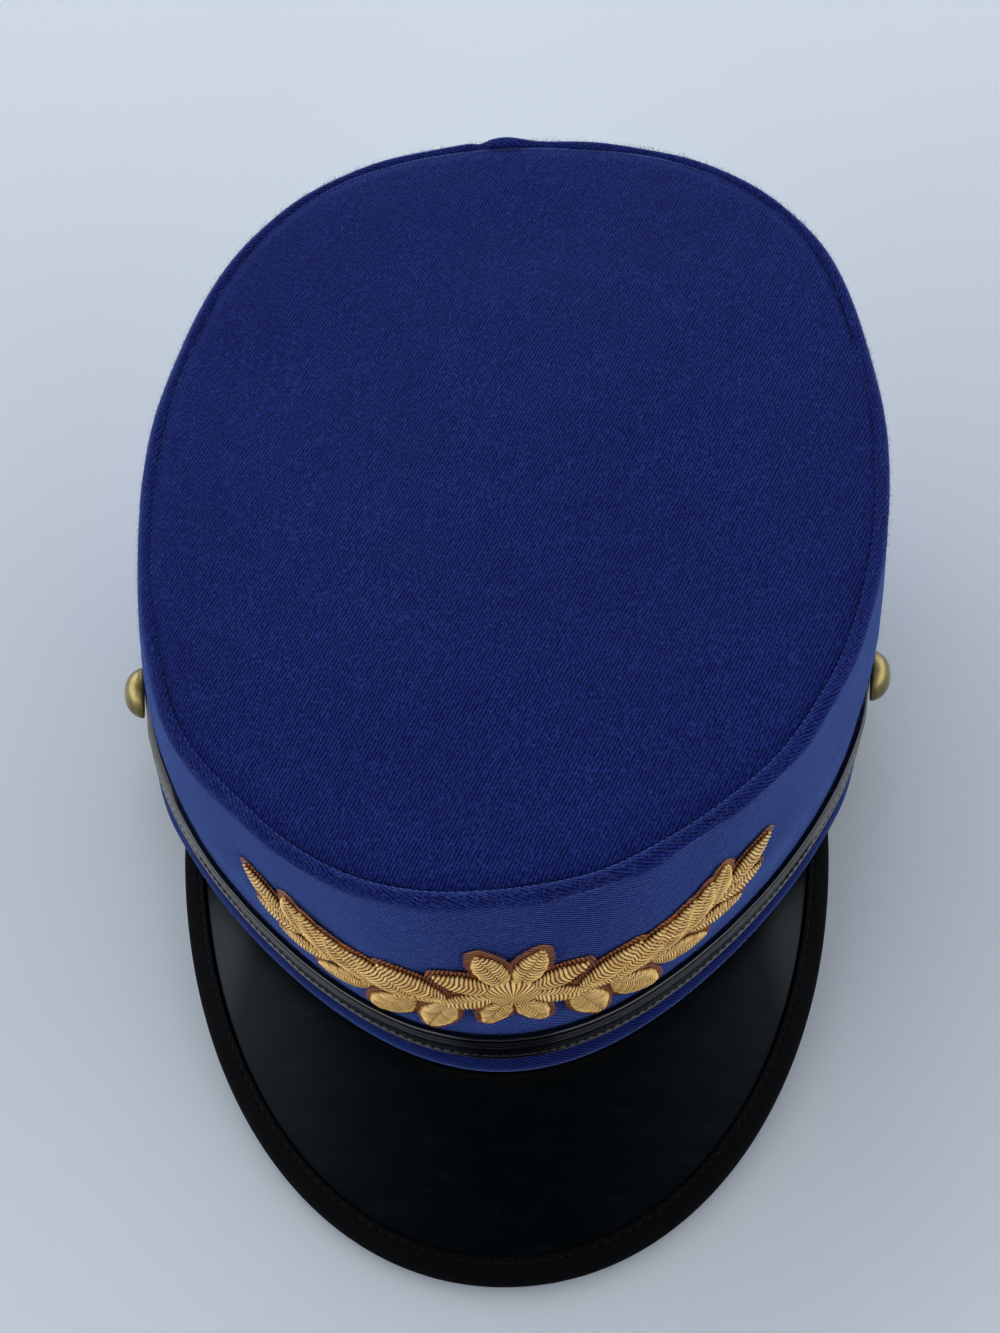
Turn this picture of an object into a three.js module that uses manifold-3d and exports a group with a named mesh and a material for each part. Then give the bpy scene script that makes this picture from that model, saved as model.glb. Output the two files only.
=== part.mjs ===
// A conductor's cap: a low pillbox of blue twill with a short black peak, a chin strap held by two
// brass buttons and a raised gold ornament on the front.
//
// Millimetres, +Z up. The front of the cap faces -Y and its right-hand side in a front view is +X.
// The cap is modelled on its own level rim and then pitched, so that it stands on the back of the rim
// and on the tip of the peak as it does when it is laid down. The origin is at the middle of the
// bottom of its box.
//
// Places round the cap are shares of a turn: 0 at the back, 0.25 at +X, 0.5 at the front, 0.75 at -X.

import * as THREE from 'three';
import { mergeVertices } from 'three/addons/utils/BufferGeometryUtils.js';
import Module from 'manifold-3d';

// Cloth and fits
const WALL_CLOTH = 2.0;
const TOP_CLOTH = 2.0;
const FIT_GAP = 0.3;

// Rim: the level lower edge of the wall, outside the cloth
const RIM_HALF_WIDTH = 88.0;
const RIM_HALF_LENGTH = 102.0;
const RIM_EGG = 0.066;
const RIM_POINT = 0.029;

// Crown: the oval seam between the wall and the top panel
const CROWN_HALF_WIDTH = 77.6;
const CROWN_HALF_LENGTH = 95.6;
const CROWN_EGG = 0.062;
const CROWN_POINT = -0.021;
const CROWN_FORWARD = 4.9;
const CROWN_ASIDE = 4.5;
const CROWN_SKEW = 0.058;
const FRONT_HEIGHT = 71.8;
const BACK_HEIGHT = 90.9;
const ROLL_RADIUS = 2.4;
const GROOVE_TURN = 108;
const TOP_PUFF = 3.0;
const TOP_EDGE_DROP = 0.7;
const CROWN_WAVE_DEPTH = 1.5;
const TOP_HOLLOW_DEPTH = 1.6;

// Chin strap
const STRAP_FOOT = 4.6;
const STRAP_WIDTH = 8.8;
const STRAP_THICK = 1.4;
const STRAP_DRAW = 2.3;
const STRAP_TAB_LENGTH = 6.0;
const STRAP_TAB_THICK = 0.85;

// Buttons
const BUTTON_RADIUS = 6.0;
const BUTTON_HEIGHT = 3.9;
const BUTTON_FORWARD = 4.7;

// Peak
const PEAK_SPREAD = 123.5;
const PEAK_REACH = 40.5;
const PEAK_FULLNESS = 3.33;
const PEAK_OVERRUN = 1.02;
const PEAK_FAN = 40.5;
const PEAK_SLOPE = 23.1;
const PEAK_SHEET = 1.7;
const PEAK_TUCK = 1.9;
const PEAK_BEND = 3.0;

// Binding of the peak's edge
const TAPE = 0.6;
const TAPE_WIDTH = 4.8;

// Ornament on the front
const EMBLEM_HALF_WIDTH = 62.0;
const EMBLEM_HEIGHT = 44.0;
const EMBLEM_FOOT = 14.8;
const EMBLEM_ASIDE = 3.6;
const EMBLEM_RELIEF = 1.4;
const LEAF_LENGTH = 19.0;
const LEAF_WIDTH = 8.2;
const ROSETTE_RADIUS = 17.0;
const ROSETTE_BOSS = 5.4;
const PETALS = 8;
const PETAL_START = 3.4;
const PETAL_WIDTH = 6.2;
const STEM_WIDTH = 2.0;

// How finely curves are cut
const ROUND_STEPS = 76;
const PEAK_STEPS = 40;
const STRAP_STEPS = 44;
const STEM_STEPS = 13;
const BUTTON_SIDES = 20;

// Rows of the wall's outside between the rim and the roll, as shares of the height to the roll
const WALL_ROWS = [0.3, 0.45, 0.62, 0.8, 1.0];

// Rows over the roll, as shares of its turn from the wall to the seam groove
const ROLL_ROWS = [0.22, 0.45, 0.7, 1.0];

// Waves of the crown's edge, out or in from its plain oval, as shares of CROWN_WAVE_DEPTH
const CROWN_WAVES = [
  { at: 0.02, spread: 0.025, out: -0.4 },
  { at: 0.19, spread: 0.035, out: -0.9 },
  { at: 0.30, spread: 0.050, out: 0.5 },
  { at: 0.41, spread: 0.035, out: -0.95 },
  { at: 0.54, spread: 0.035, out: 0.85 },
  { at: 0.61, spread: 0.022, out: -0.5 },
  { at: 0.655, spread: 0.020, out: 0.6 },
  { at: 0.74, spread: 0.045, out: -0.65 },
  { at: 0.815, spread: 0.035, out: -0.85 },
  { at: 0.92, spread: 0.045, out: 0.95 },
];

// Soft hollows of the top panel: places and spreads as shares of the crown's half sizes, depths as
// shares of TOP_HOLLOW_DEPTH, with a minus where the cloth stands up
const TOP_HOLLOWS = [
  { across: -0.55, along: 0.35, spread: 0.35, depth: 0.8 },
  { across: 0.10, along: 0.72, spread: 0.25, depth: 0.7 },
  { across: 0.55, along: -0.20, spread: 0.40, depth: 0.6 },
  { across: -0.30, along: -0.50, spread: 0.35, depth: -0.5 },
  { across: 0.35, along: 0.35, spread: 0.35, depth: -0.5 },
];

// Rows of the peak from under the wall to its edge, as shares of the way
const PEAK_ROWS = [0, 0.05, 0.13, 0.3, 0.65, 1.0];

// Rings of the top panel from its middle to its edge, as shares of the way out
const TOP_RINGS = [0.22, 0.44, 0.64, 0.8, 0.91, 0.97, 1.0];
const UNDERSIDE_RINGS = [1.0, 0.6];

// Face of the chin strap, from its lower edge to its upper one: a stitched border, a groove, a broad
// flat face and two ribs under the upper edge
const STRAP_FACE = [
  { up: 0.00, out: 0.45 },
  { up: 0.03, out: 0.75 },
  { up: 0.10, out: 0.75 },
  { up: 0.15, out: 0.50 },
  { up: 0.20, out: 0.72 },
  { up: 0.68, out: 0.78 },
  { up: 0.73, out: 0.55 },
  { up: 0.80, out: 0.85 },
  { up: 0.86, out: 0.65 },
  { up: 0.93, out: 1.00 },
  { up: 1.00, out: 0.70 },
];

// Rows of the strap's round tab, as shares of its radius from its tip
const TAB_ROWS = [0.06, 0.25, 0.55, 1.0];

// Half of a button's outline, from the middle of its dome to the rim of its back
const BUTTON_DOME = [
  { out: 0.00, up: 1.00 },
  { out: 0.30, up: 0.96 },
  { out: 0.55, up: 0.84 },
  { out: 0.76, up: 0.64 },
  { out: 0.88, up: 0.44 },
  { out: 0.97, up: 0.30 },
  { out: 1.00, up: 0.16 },
  { out: 0.95, up: 0.00 },
  { out: 0.00, up: 0.00 },
];

// Outline of a leaf or petal, from its foot round its tip
const LEAF_OUTLINE = [
  { along: 0.00, across: 0.00 },
  { along: 0.22, across: 0.40 },
  { along: 0.50, across: 0.50 },
  { along: 0.80, across: 0.30 },
  { along: 1.00, across: 0.00 },
  { along: 0.80, across: -0.30 },
  { along: 0.50, across: -0.50 },
  { along: 0.22, across: -0.40 },
];

// Stem of each leafy spray, as shares of the ornament's half width and height
const STEM_ROUTE = [
  { across: 0.15, up: 0.42 },
  { across: 0.36, up: 0.36 },
  { across: 0.61, up: 0.44 },
  { across: 0.82, up: 0.66 },
];

// Pairs of leaves along each stem, and the leaf at its end
const LEAF_PAIRS = [
  { along: 0.10, size: 0.92, lean: 52 },
  { along: 0.30, size: 1.00, lean: 46 },
  { along: 0.50, size: 0.95, lean: 42 },
  { along: 0.69, size: 0.84, lean: 40 },
  { along: 0.87, size: 0.70, lean: 38 },
];
const END_LEAF = { along: 0.965, size: 0.78, lean: 0 };

const FULL_TURN = 2 * Math.PI;
const FRONT = 0.5;
const UP = new THREE.Vector3(0, 0, 1);

const radians = THREE.MathUtils.degToRad;
const lerp = THREE.MathUtils.lerp;

const cloth = new THREE.MeshStandardMaterial({ color: 0x1d2c86, roughness: 0.95, metalness: 0 });
const topCloth = new THREE.MeshStandardMaterial({ color: 0x17236f, roughness: 0.95, metalness: 0 });
const vinyl = new THREE.MeshStandardMaterial({ color: 0x0d1110, roughness: 0.35, metalness: 0 });
const tape = new THREE.MeshStandardMaterial({ color: 0x121316, roughness: 0.8, metalness: 0 });
const patent = new THREE.MeshStandardMaterial({ color: 0x0b0c0e, roughness: 0.2, metalness: 0 });
const brass = new THREE.MeshStandardMaterial({ color: 0x9a8545, roughness: 0.35, metalness: 1 });
const gold = new THREE.MeshStandardMaterial({ color: 0xc8a25a, roughness: 0.6, metalness: 0 });

// A closed body through rows of points. Rows form a ring, or end in flat caps, or end in points that
// are the middles of the first and last rows.
function bodyThroughRows(rows, ends) {
  const count = rows[0].length;
  const points = rows.flat();
  const faces = [];
  const bands = ends === 'ring' ? rows.length : rows.length - 1;
  for (let row = 0; row < bands; row += 1) {
    const here = row * count;
    const next = ((row + 1) % rows.length) * count;
    for (let i = 0; i < count; i += 1) {
      const j = (i + 1) % count;
      faces.push([here + i, here + j, next + j], [here + i, next + j, next + i]);
    }
  }
  if (ends === 'points') {
    closeWithPoint(points, faces, 0, count, true);
    closeWithPoint(points, faces, (rows.length - 1) * count, count, false);
  }
  if (ends === 'caps') {
    closeWithCap(points, faces, 0, count, true);
    closeWithCap(points, faces, (rows.length - 1) * count, count, false);
  }
  return geometryOf(points, faces);
}

// Closes a row with a fan to its middle
function closeWithPoint(points, faces, first, count, reversed) {
  const middle = new THREE.Vector3();
  for (let i = 0; i < count; i += 1) {
    middle.addScaledVector(points[first + i], 1 / count);
  }
  const hub = points.push(middle) - 1;
  for (let i = 0; i < count; i += 1) {
    const a = first + i;
    const b = first + ((i + 1) % count);
    faces.push(reversed ? [hub, b, a] : [hub, a, b]);
  }
}

// Closes a row with flat triangles between its own points
function closeWithCap(points, faces, first, count, reversed) {
  const row = points.slice(first, first + count);
  const normal = new THREE.Vector3();
  const origin = row[0];
  for (let i = 1; i < count - 1; i += 1) {
    const spoke = row[i].clone().sub(origin);
    normal.add(spoke.cross(row[i + 1].clone().sub(origin)));
  }
  normal.normalize();
  const right = row[1].clone().sub(origin).normalize();
  const up = normal.clone().cross(right);
  const flat = row.map((point) => {
    const spoke = point.clone().sub(origin);
    return new THREE.Vector2(spoke.dot(right), spoke.dot(up));
  });
  for (const [a, b, c] of THREE.ShapeUtils.triangulateShape(flat, [])) {
    faces.push(reversed ? [first + c, first + b, first + a] : [first + a, first + b, first + c]);
  }
}

// An indexed geometry whose faces point out of the body
function geometryOf(points, faces) {
  let volume = 0;
  for (const [a, b, c] of faces) {
    volume += points[a].dot(points[b].clone().cross(points[c]));
  }
  const outward = volume > 0 ? faces : faces.map(([a, b, c]) => [a, c, b]);
  const geometry = new THREE.BufferGeometry();
  const places = points.flatMap((point) => point.toArray());
  geometry.setAttribute('position', new THREE.Float32BufferAttribute(places, 3));
  geometry.setIndex(outward.flat());
  geometry.computeVertexNormals();
  return geometry;
}

// A point of an oval in plan. The egg makes the back wider than the front, and the point draws the
// oval in between its four ends, or fills it out where it is below zero.
function ovalPoint(halfWidth, halfLength, egg, point, share) {
  const angle = share * FULL_TURN;
  const across = (1 - point) * Math.sin(angle) - point * Math.sin(3 * angle);
  const along = (1 - point) * Math.cos(angle) + point * Math.cos(3 * angle);
  return new THREE.Vector2(halfWidth * across * (1 + egg * Math.cos(angle)), halfLength * along);
}

// The direction straight out of an outline, in plan
function outwardOf(outline, share) {
  const step = 0.002;
  const ahead = outline(share + step).sub(outline(share - step));
  return new THREE.Vector2(-ahead.y, ahead.x).normalize();
}

// How much of the front a place has: 1 round the front half, 0 round the back, softly in between
function frontness(share) {
  return THREE.MathUtils.smoothstep(-Math.cos(share * FULL_TURN), -0.45, 0.15);
}

// The rim, which is drawn to a blunt point at the front and is a plain oval at the back
function rimPoint(share) {
  return ovalPoint(RIM_HALF_WIDTH, RIM_HALF_LENGTH, RIM_EGG, RIM_POINT * frontness(share), share);
}

const rimOutward = (share) => outwardOf(rimPoint, share);

// The crown's oval, which leans forward and aside from the rim
function leaningOval(share) {
  const plain = ovalPoint(CROWN_HALF_WIDTH, CROWN_HALF_LENGTH, CROWN_EGG, CROWN_POINT, share);
  return new THREE.Vector2(plain.x + CROWN_ASIDE + CROWN_SKEW * plain.y, plain.y - CROWN_FORWARD);
}

const crownOutward = (share) => outwardOf(leaningOval, share);

// A soft bump of height 1 at a place round the cap
function bumpAt(share, place, spread) {
  const away = Math.abs(share - place) % 1;
  const nearest = Math.min(away, 1 - away);
  return Math.exp(-((nearest / spread) ** 2));
}

// The seam of the crown, with the waves of its edge
function seamPoint(share) {
  let out = 0;
  for (const wave of CROWN_WAVES) {
    out += CROWN_WAVE_DEPTH * wave.out * bumpAt(share, wave.at, wave.spread);
  }
  return leaningOval(share).addScaledVector(crownOutward(share), out);
}

// The height of the crown's sloping plane over the rim, at a place along the cap
function crownHeight(y) {
  const way = (y + CROWN_FORWARD + CROWN_HALF_LENGTH) / (2 * CROWN_HALF_LENGTH);
  return lerp(FRONT_HEIGHT, BACK_HEIGHT, way);
}

const seamHeight = (share) => crownHeight(leaningOval(share).y);
const rollHeight = (share) => seamHeight(share) - ROLL_RADIUS;

// How far the strap draws the wall in at a place, so that the rim flares out a little under it
function strapDraw(share, height) {
  const rise = THREE.MathUtils.smoothstep(height, 0, STRAP_FOOT + STRAP_WIDTH / 2);
  const fade = THREE.MathUtils.smoothstep(height, STRAP_FOOT + STRAP_WIDTH, STRAP_FOOT + 4 * STRAP_WIDTH);
  return STRAP_DRAW * frontness(share) * rise * (1 - fade);
}

// A point of the wall's outside, or outside it by some distance, at a height over the rim
function wallPoint(share, height, out = 0) {
  const rise = height / rollHeight(share);
  const shoulder = seamPoint(share).addScaledVector(crownOutward(share), ROLL_RADIUS);
  const place = rimPoint(share).lerp(shoulder, rise);
  place.addScaledVector(rimOutward(share), out - strapDraw(share, height));
  return new THREE.Vector3(place.x, place.y, height);
}

// The direction out of the wall, square to its lean
function wallNormal(share, height) {
  const step = 1.0;
  const up = wallPoint(share, height + step).sub(wallPoint(share, height - step));
  const out = rimOutward(share);
  const level = new THREE.Vector3(out.x, out.y, 0);
  const along = new THREE.Vector3().crossVectors(UP, level);
  return along.cross(up).normalize();
}

// Centre of the roll at a place round the crown, and its two directions
function rollPoint(share, radius, degrees) {
  const seam = seamPoint(share);
  const out = crownOutward(share);
  const level = radius * Math.cos(radians(degrees));
  const lift = radius * Math.sin(radians(degrees));
  return new THREE.Vector3(seam.x + out.x * level, seam.y + out.y * level, rollHeight(share) + lift);
}

// One upright section of the wall's cloth, up the outside, over the roll and down the inside
function wallSection(share) {
  const top = rollHeight(share);
  const strapHeights = [0, STRAP_FOOT, STRAP_FOOT + STRAP_WIDTH / 2, STRAP_FOOT + STRAP_WIDTH];
  const outside = strapHeights.map((height) => wallPoint(share, height));
  for (const row of WALL_ROWS) {
    outside.push(wallPoint(share, top * row));
  }
  const inner = Math.max(ROLL_RADIUS - WALL_CLOTH, ROLL_RADIUS / 5);
  const over = ROLL_ROWS.map((row) => rollPoint(share, ROLL_RADIUS, GROOVE_TURN * row));
  const under = [rollPoint(share, inner, GROOVE_TURN), rollPoint(share, inner, GROOVE_TURN / 2)];
  const inside = [1.0, 0.62, 0.3].map((row) => wallPoint(share, top * row, -WALL_CLOTH));
  const foot = [strapHeights[2], 0].map((height) => wallPoint(share, height, -WALL_CLOTH));
  return [...outside, ...over, ...under, ...inside, ...foot];
}

function crownSide() {
  const sections = [];
  for (let i = 0; i < ROUND_STEPS; i += 1) {
    sections.push(wallSection(i / ROUND_STEPS));
  }
  return bodyThroughRows(sections, 'ring');
}

// The edge of the top panel, just inside the lip of the roll
function panelEdge(share) {
  const lip = rollPoint(share, ROLL_RADIUS, GROOVE_TURN);
  const out = crownOutward(share);
  return new THREE.Vector2(lip.x - out.x * FIT_GAP, lip.y - out.y * FIT_GAP);
}

// The top panel's puff and hollows at a point, given as a share of the way from its middle
function panelLift(x, y, share) {
  let lift = TOP_PUFF * (1 - share ** 2) - TOP_EDGE_DROP * share ** 24;
  for (const hollow of TOP_HOLLOWS) {
    const across = (x - CROWN_ASIDE) / CROWN_HALF_WIDTH - hollow.across;
    const along = (y + CROWN_FORWARD) / CROWN_HALF_LENGTH - hollow.along;
    const near = Math.exp(-(across ** 2 + along ** 2) / hollow.spread ** 2);
    lift -= TOP_HOLLOW_DEPTH * hollow.depth * near * (1 - share ** 4);
  }
  return lift;
}

// A ring of points of the top panel, on its face or under it
function panelRing(share, below) {
  const ring = [];
  for (let i = 0; i < ROUND_STEPS; i += 1) {
    const edge = panelEdge(i / ROUND_STEPS);
    const x = CROWN_ASIDE + (edge.x - CROWN_ASIDE) * share;
    const y = -CROWN_FORWARD + (edge.y + CROWN_FORWARD) * share;
    ring.push(new THREE.Vector3(x, y, crownHeight(y) + panelLift(x, y, share) - below));
  }
  return ring;
}

function crownTop() {
  const face = TOP_RINGS.map((share) => panelRing(share, 0));
  const underside = UNDERSIDE_RINGS.map((share) => panelRing(share, TOP_CLOTH));
  return bodyThroughRows([...face, ...underside], 'points');
}

// The share of a turn at which the rim's +X side passes a place along the cap
function shareAbeam(y) {
  let low = 0;
  let high = FRONT;
  for (let i = 0; i < 40; i += 1) {
    const middle = (low + high) / 2;
    if (rimPoint(middle).y > y) {
      low = middle;
    } else {
      high = middle;
    }
  }
  return low;
}

const BUTTON_SHARE = shareAbeam(-BUTTON_FORWARD);
const STRAP_MIDDLE = STRAP_FOOT + STRAP_WIDTH / 2;

// The strap's thickness at a place, which is less under a button and up to its far edge
function strapThick(share) {
  const away = Math.abs(rimPoint(share).y + BUTTON_FORWARD);
  const rise = THREE.MathUtils.smoothstep(away, 1.2 * BUTTON_RADIUS, 2.5 * BUTTON_RADIUS);
  return lerp(STRAP_TAB_THICK, STRAP_THICK, rise);
}

// The strap's section at a place round the cap, lying on the wall, drawn in to a share of its width
function strapSection(share, fullness) {
  const foot = STRAP_MIDDLE - (STRAP_WIDTH / 2) * fullness;
  const width = STRAP_WIDTH * fullness;
  const thick = strapThick(share);
  const section = [wallPoint(share, foot, FIT_GAP)];
  for (const row of STRAP_FACE) {
    section.push(wallPoint(share, foot + width * row.up, FIT_GAP + thick * row.out));
  }
  section.push(wallPoint(share, foot + width, FIT_GAP));
  section.push(wallPoint(share, STRAP_MIDDLE, FIT_GAP));
  return section;
}

// The strap runs from one button round the front to the other, and ends in a round tab behind each
function chinStrap() {
  const radius = STRAP_WIDTH / 2;
  const places = TAB_ROWS.map((row) => {
    const share = shareAbeam(-BUTTON_FORWARD + STRAP_TAB_LENGTH - radius * row);
    return { share, fullness: Math.sqrt(1 - (1 - row) ** 2) };
  });
  const others = places.map((place) => ({ share: 1 - place.share, fullness: place.fullness }));
  const start = places.at(-1).share;
  const run = [];
  for (let i = 1; i < STRAP_STEPS; i += 1) {
    run.push({ share: lerp(start, 1 - start, i / STRAP_STEPS), fullness: 1 });
  }
  const all = [...places, ...run, ...others.reverse()];
  return bodyThroughRows(all.map((place) => strapSection(place.share, place.fullness)), 'caps');
}

function buttonMesh(name, share) {
  const half = BUTTON_DOME.map((row) => new THREE.Vector2(BUTTON_RADIUS * row.out, BUTTON_HEIGHT * row.up));
  const button = new THREE.Mesh(new THREE.LatheGeometry(half.reverse(), BUTTON_SIDES), brass);
  const normal = wallNormal(share, STRAP_MIDDLE);
  button.name = name;
  button.quaternion.setFromUnitVectors(new THREE.Vector3(0, 1, 0), normal);
  button.position.copy(wallPoint(share, STRAP_MIDDLE));
  button.position.addScaledVector(normal, STRAP_TAB_THICK + 4 * FIT_GAP);
  return button;
}

// Places across the peak run from -1 to 1 where its edge meets the rim, and a little past that under
// the wall. They lie closer together towards its ends.
const peakPlaces = [];
for (let i = 0; i <= PEAK_STEPS; i += 1) {
  peakPlaces.push(PEAK_OVERRUN * Math.sin((i / PEAK_STEPS - 0.5) * Math.PI));
}

const peakShare = (place) => FRONT + (place * PEAK_SPREAD) / 2 / 360;
const peakFall = Math.tan(radians(PEAK_SLOPE));

// The direction in which the peak runs out from the rim, in plan
function peakHeading(place) {
  const angle = radians(PEAK_FAN / 2) * place;
  return new THREE.Vector2(-Math.sin(angle), -Math.cos(angle));
}

// How far the peak's sheet reaches from the rim, inside its binding
function peakReach(place) {
  return (PEAK_REACH - FIT_GAP - TAPE) * (1 - Math.abs(place) ** PEAK_FULLNESS);
}

// The ends of the peak dip, so that their binding passes under the rim
function peakDip(place) {
  const clear = (TAPE + FIT_GAP) / Math.cos(radians(PEAK_SLOPE));
  return clear * THREE.MathUtils.smoothstep(Math.abs(place), 0.72, 0.9);
}

// The peak's sheet in plan, at a distance out from the rim
function peakPlan(place, distance) {
  return rimPoint(peakShare(place)).addScaledVector(peakHeading(place), distance);
}

// How far the top of the sheet lies under the rim. It bends down softly as it leaves the rim.
function peakDrop(place, distance) {
  const run = (distance + Math.hypot(distance, PEAK_BEND)) / 2;
  return FIT_GAP + peakDip(place) + peakFall * run;
}

// A point on the top of the sheet, or some height below it
function peakPoint(place, distance, below = 0) {
  const plan = peakPlan(place, distance);
  return new THREE.Vector3(plan.x, plan.y, -peakDrop(place, distance) - below);
}

const peakThick = PEAK_SHEET / Math.cos(radians(PEAK_SLOPE));

function peakSection(place) {
  const reach = peakReach(place);
  const foot = Math.min(0, reach) - PEAK_TUCK;
  const distances = PEAK_ROWS.map((row) => lerp(foot, reach, row));
  const top = distances.map((distance) => peakPoint(place, distance));
  const bottom = distances.map((distance) => peakPoint(place, distance, peakThick));
  return [...top, ...bottom.reverse()];
}

function peak() {
  return bodyThroughRows(peakPlaces.map(peakSection), 'caps');
}

// How far the top of the sheet lies under the rim at a point in plan near a place on its edge
function dropNear(point, place) {
  const step = 0.0005;
  let across = place;
  let distance = peakReach(place);
  for (let i = 0; i < 12; i += 1) {
    const here = peakPlan(across, distance);
    const sideways = peakPlan(across + step, distance).sub(here).divideScalar(step);
    const outward = peakHeading(across);
    const miss = point.clone().sub(here);
    const area = sideways.cross(outward);
    across += miss.cross(outward) / area;
    distance += sideways.cross(miss) / area;
  }
  return peakDrop(across, distance);
}

// The binding's section at a place on the peak's edge, square to the edge in plan. The tape lies over
// the sheet, round its edge and back under it.
function bindingSection(place) {
  const step = 0.002;
  const reachPlan = (at) => peakPlan(at, peakReach(at));
  const edge = reachPlan(place);
  const ahead = reachPlan(place + step).sub(reachPlan(place - step)).normalize();
  const out = new THREE.Vector2(-ahead.y, ahead.x);
  const nose = FIT_GAP + TAPE;
  const inner = nose - TAPE_WIDTH;
  const rise = 1 / Math.cos(radians(PEAK_SLOPE));
  const pointAt = (away, up) => {
    const plan = edge.clone().addScaledVector(out, away);
    return new THREE.Vector3(plan.x, plan.y, up * rise - dropNear(plan, place));
  };
  const over = FIT_GAP;
  const under = -PEAK_SHEET - FIT_GAP;
  const outline = [
    [inner, over],
    [inner, over + TAPE],
    [inner / 2, over + TAPE],
    [0, over + TAPE],
    [nose, 0],
    [nose, -PEAK_SHEET],
    [0, under - TAPE],
    [inner / 2, under - TAPE],
    [inner, under - TAPE],
    [inner, under],
    [inner / 2, under],
    [FIT_GAP, under],
    [FIT_GAP, over],
    [inner / 2, over],
  ];
  return outline.map(([away, up]) => pointAt(away, up));
}

function peakBinding() {
  return bodyThroughRows(peakPlaces.map(bindingSection), 'caps');
}

// Shares of a turn for distances along the wall from the middle of the front, at the ornament
const wallTravel = [0];
const TRAVEL_STEP = 0.001;
for (let i = 1; i <= 200; i += 1) {
  const height = EMBLEM_FOOT + EMBLEM_HEIGHT / 2;
  const from = wallPoint(FRONT - TRAVEL_STEP * (i - 1), height);
  const to = wallPoint(FRONT - TRAVEL_STEP * i, height);
  wallTravel.push(wallTravel[i - 1] + from.distanceTo(to));
}

function shareAcross(across) {
  const distance = Math.abs(across);
  const after = Math.max(1, wallTravel.findIndex((travel) => travel >= distance));
  const span = wallTravel[after] - wallTravel[after - 1];
  const steps = after - 1 + (distance - wallTravel[after - 1]) / span;
  return FRONT - Math.sign(across) * TRAVEL_STEP * steps;
}

// A point of the ornament: across and up its own flat drawing, and out from the wall
function emblemPoint(across, up, out) {
  return wallPoint(shareAcross(EMBLEM_ASIDE + across), EMBLEM_FOOT + up, FIT_GAP + out);
}

// A leaf or petal on the wall, thickest along its middle
function leafBody(foot, degrees, length, width) {
  const heading = new THREE.Vector2(Math.cos(radians(degrees)), Math.sin(radians(degrees)));
  const loops = [
    { size: 1.0, out: 0.2 },
    { size: 1.0, out: 0.55 },
    { size: 0.55, out: 1.0 },
  ];
  const rows = loops.map((loop) => LEAF_OUTLINE.map((corner) => {
    const along = length * (0.5 + (corner.along - 0.5) * loop.size);
    const aside = width * corner.across * loop.size;
    const across = foot.x + heading.x * along - heading.y * aside;
    const up = foot.y + heading.y * along + heading.x * aside;
    return emblemPoint(across, up, EMBLEM_RELIEF * loop.out);
  }));
  return bodyThroughRows(rows, 'points');
}

// The round boss in the middle of the rosette
function bossBody(middle) {
  const sides = 12;
  const loops = [
    { size: 1.0, out: 0 },
    { size: 1.0, out: 0.8 },
    { size: 0.6, out: 1.3 },
  ];
  const rows = loops.map((loop) => {
    const row = [];
    for (let i = 0; i < sides; i += 1) {
      const angle = (i / sides) * FULL_TURN;
      const across = middle.x + ROSETTE_BOSS * loop.size * Math.cos(angle);
      const up = middle.y + ROSETTE_BOSS * loop.size * Math.sin(angle);
      row.push(emblemPoint(across, up, EMBLEM_RELIEF * loop.out));
    }
    return row;
  });
  return bodyThroughRows(rows, 'points');
}

// The stem of the spray on one side, as a smooth curve in the flat drawing
function stemCurve(side) {
  const points = STEM_ROUTE.map((row) => new THREE.Vector3(
    side * row.across * EMBLEM_HALF_WIDTH,
    row.up * EMBLEM_HEIGHT,
    0,
  ));
  return new THREE.CatmullRomCurve3(points);
}

function stemBody(curve) {
  const half = STEM_WIDTH / 2;
  const sections = [];
  for (let i = 0; i <= STEM_STEPS; i += 1) {
    const middle = curve.getPoint(i / STEM_STEPS);
    const ahead = curve.getTangent(i / STEM_STEPS);
    const corner = (aside, out) => emblemPoint(middle.x - ahead.y * aside, middle.y + ahead.x * aside, out);
    const relief = EMBLEM_RELIEF * 0.7;
    sections.push([corner(-half, 0), corner(-half, relief / 2), corner(0, relief), corner(half, relief / 2),
      corner(half, 0)]);
  }
  return bodyThroughRows(sections, 'caps');
}

// All bodies of the ornament, each a little into its neighbour
function emblemBodies() {
  const middle = new THREE.Vector2(0, EMBLEM_HEIGHT / 2);
  const bodies = [bossBody(middle)];
  for (let i = 0; i < PETALS; i += 1) {
    const angle = ((i + 0.5) / PETALS) * FULL_TURN;
    const heading = new THREE.Vector2(Math.cos(angle), Math.sin(angle));
    const foot = middle.clone().addScaledVector(heading, PETAL_START);
    bodies.push(leafBody(foot, THREE.MathUtils.radToDeg(angle), ROSETTE_RADIUS - PETAL_START, PETAL_WIDTH));
  }
  for (const side of [-1, 1]) {
    const curve = stemCurve(side);
    bodies.push(stemBody(curve));
    for (const pair of [...LEAF_PAIRS, END_LEAF]) {
      const at = curve.getPoint(pair.along);
      const ahead = curve.getTangent(pair.along);
      const heading = THREE.MathUtils.radToDeg(Math.atan2(ahead.y, ahead.x));
      const leans = pair.lean === 0 ? [0] : [-pair.lean, pair.lean];
      for (const lean of leans) {
        const aside = Math.sign(lean) * STEM_WIDTH * 0.2;
        const foot = new THREE.Vector2(at.x - ahead.y * aside, at.y + ahead.x * aside);
        bodies.push(leafBody(foot, heading + lean, LEAF_LENGTH * pair.size, LEAF_WIDTH * pair.size));
      }
    }
  }
  return bodies;
}

const wasm = await Module();
wasm.setup();

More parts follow.
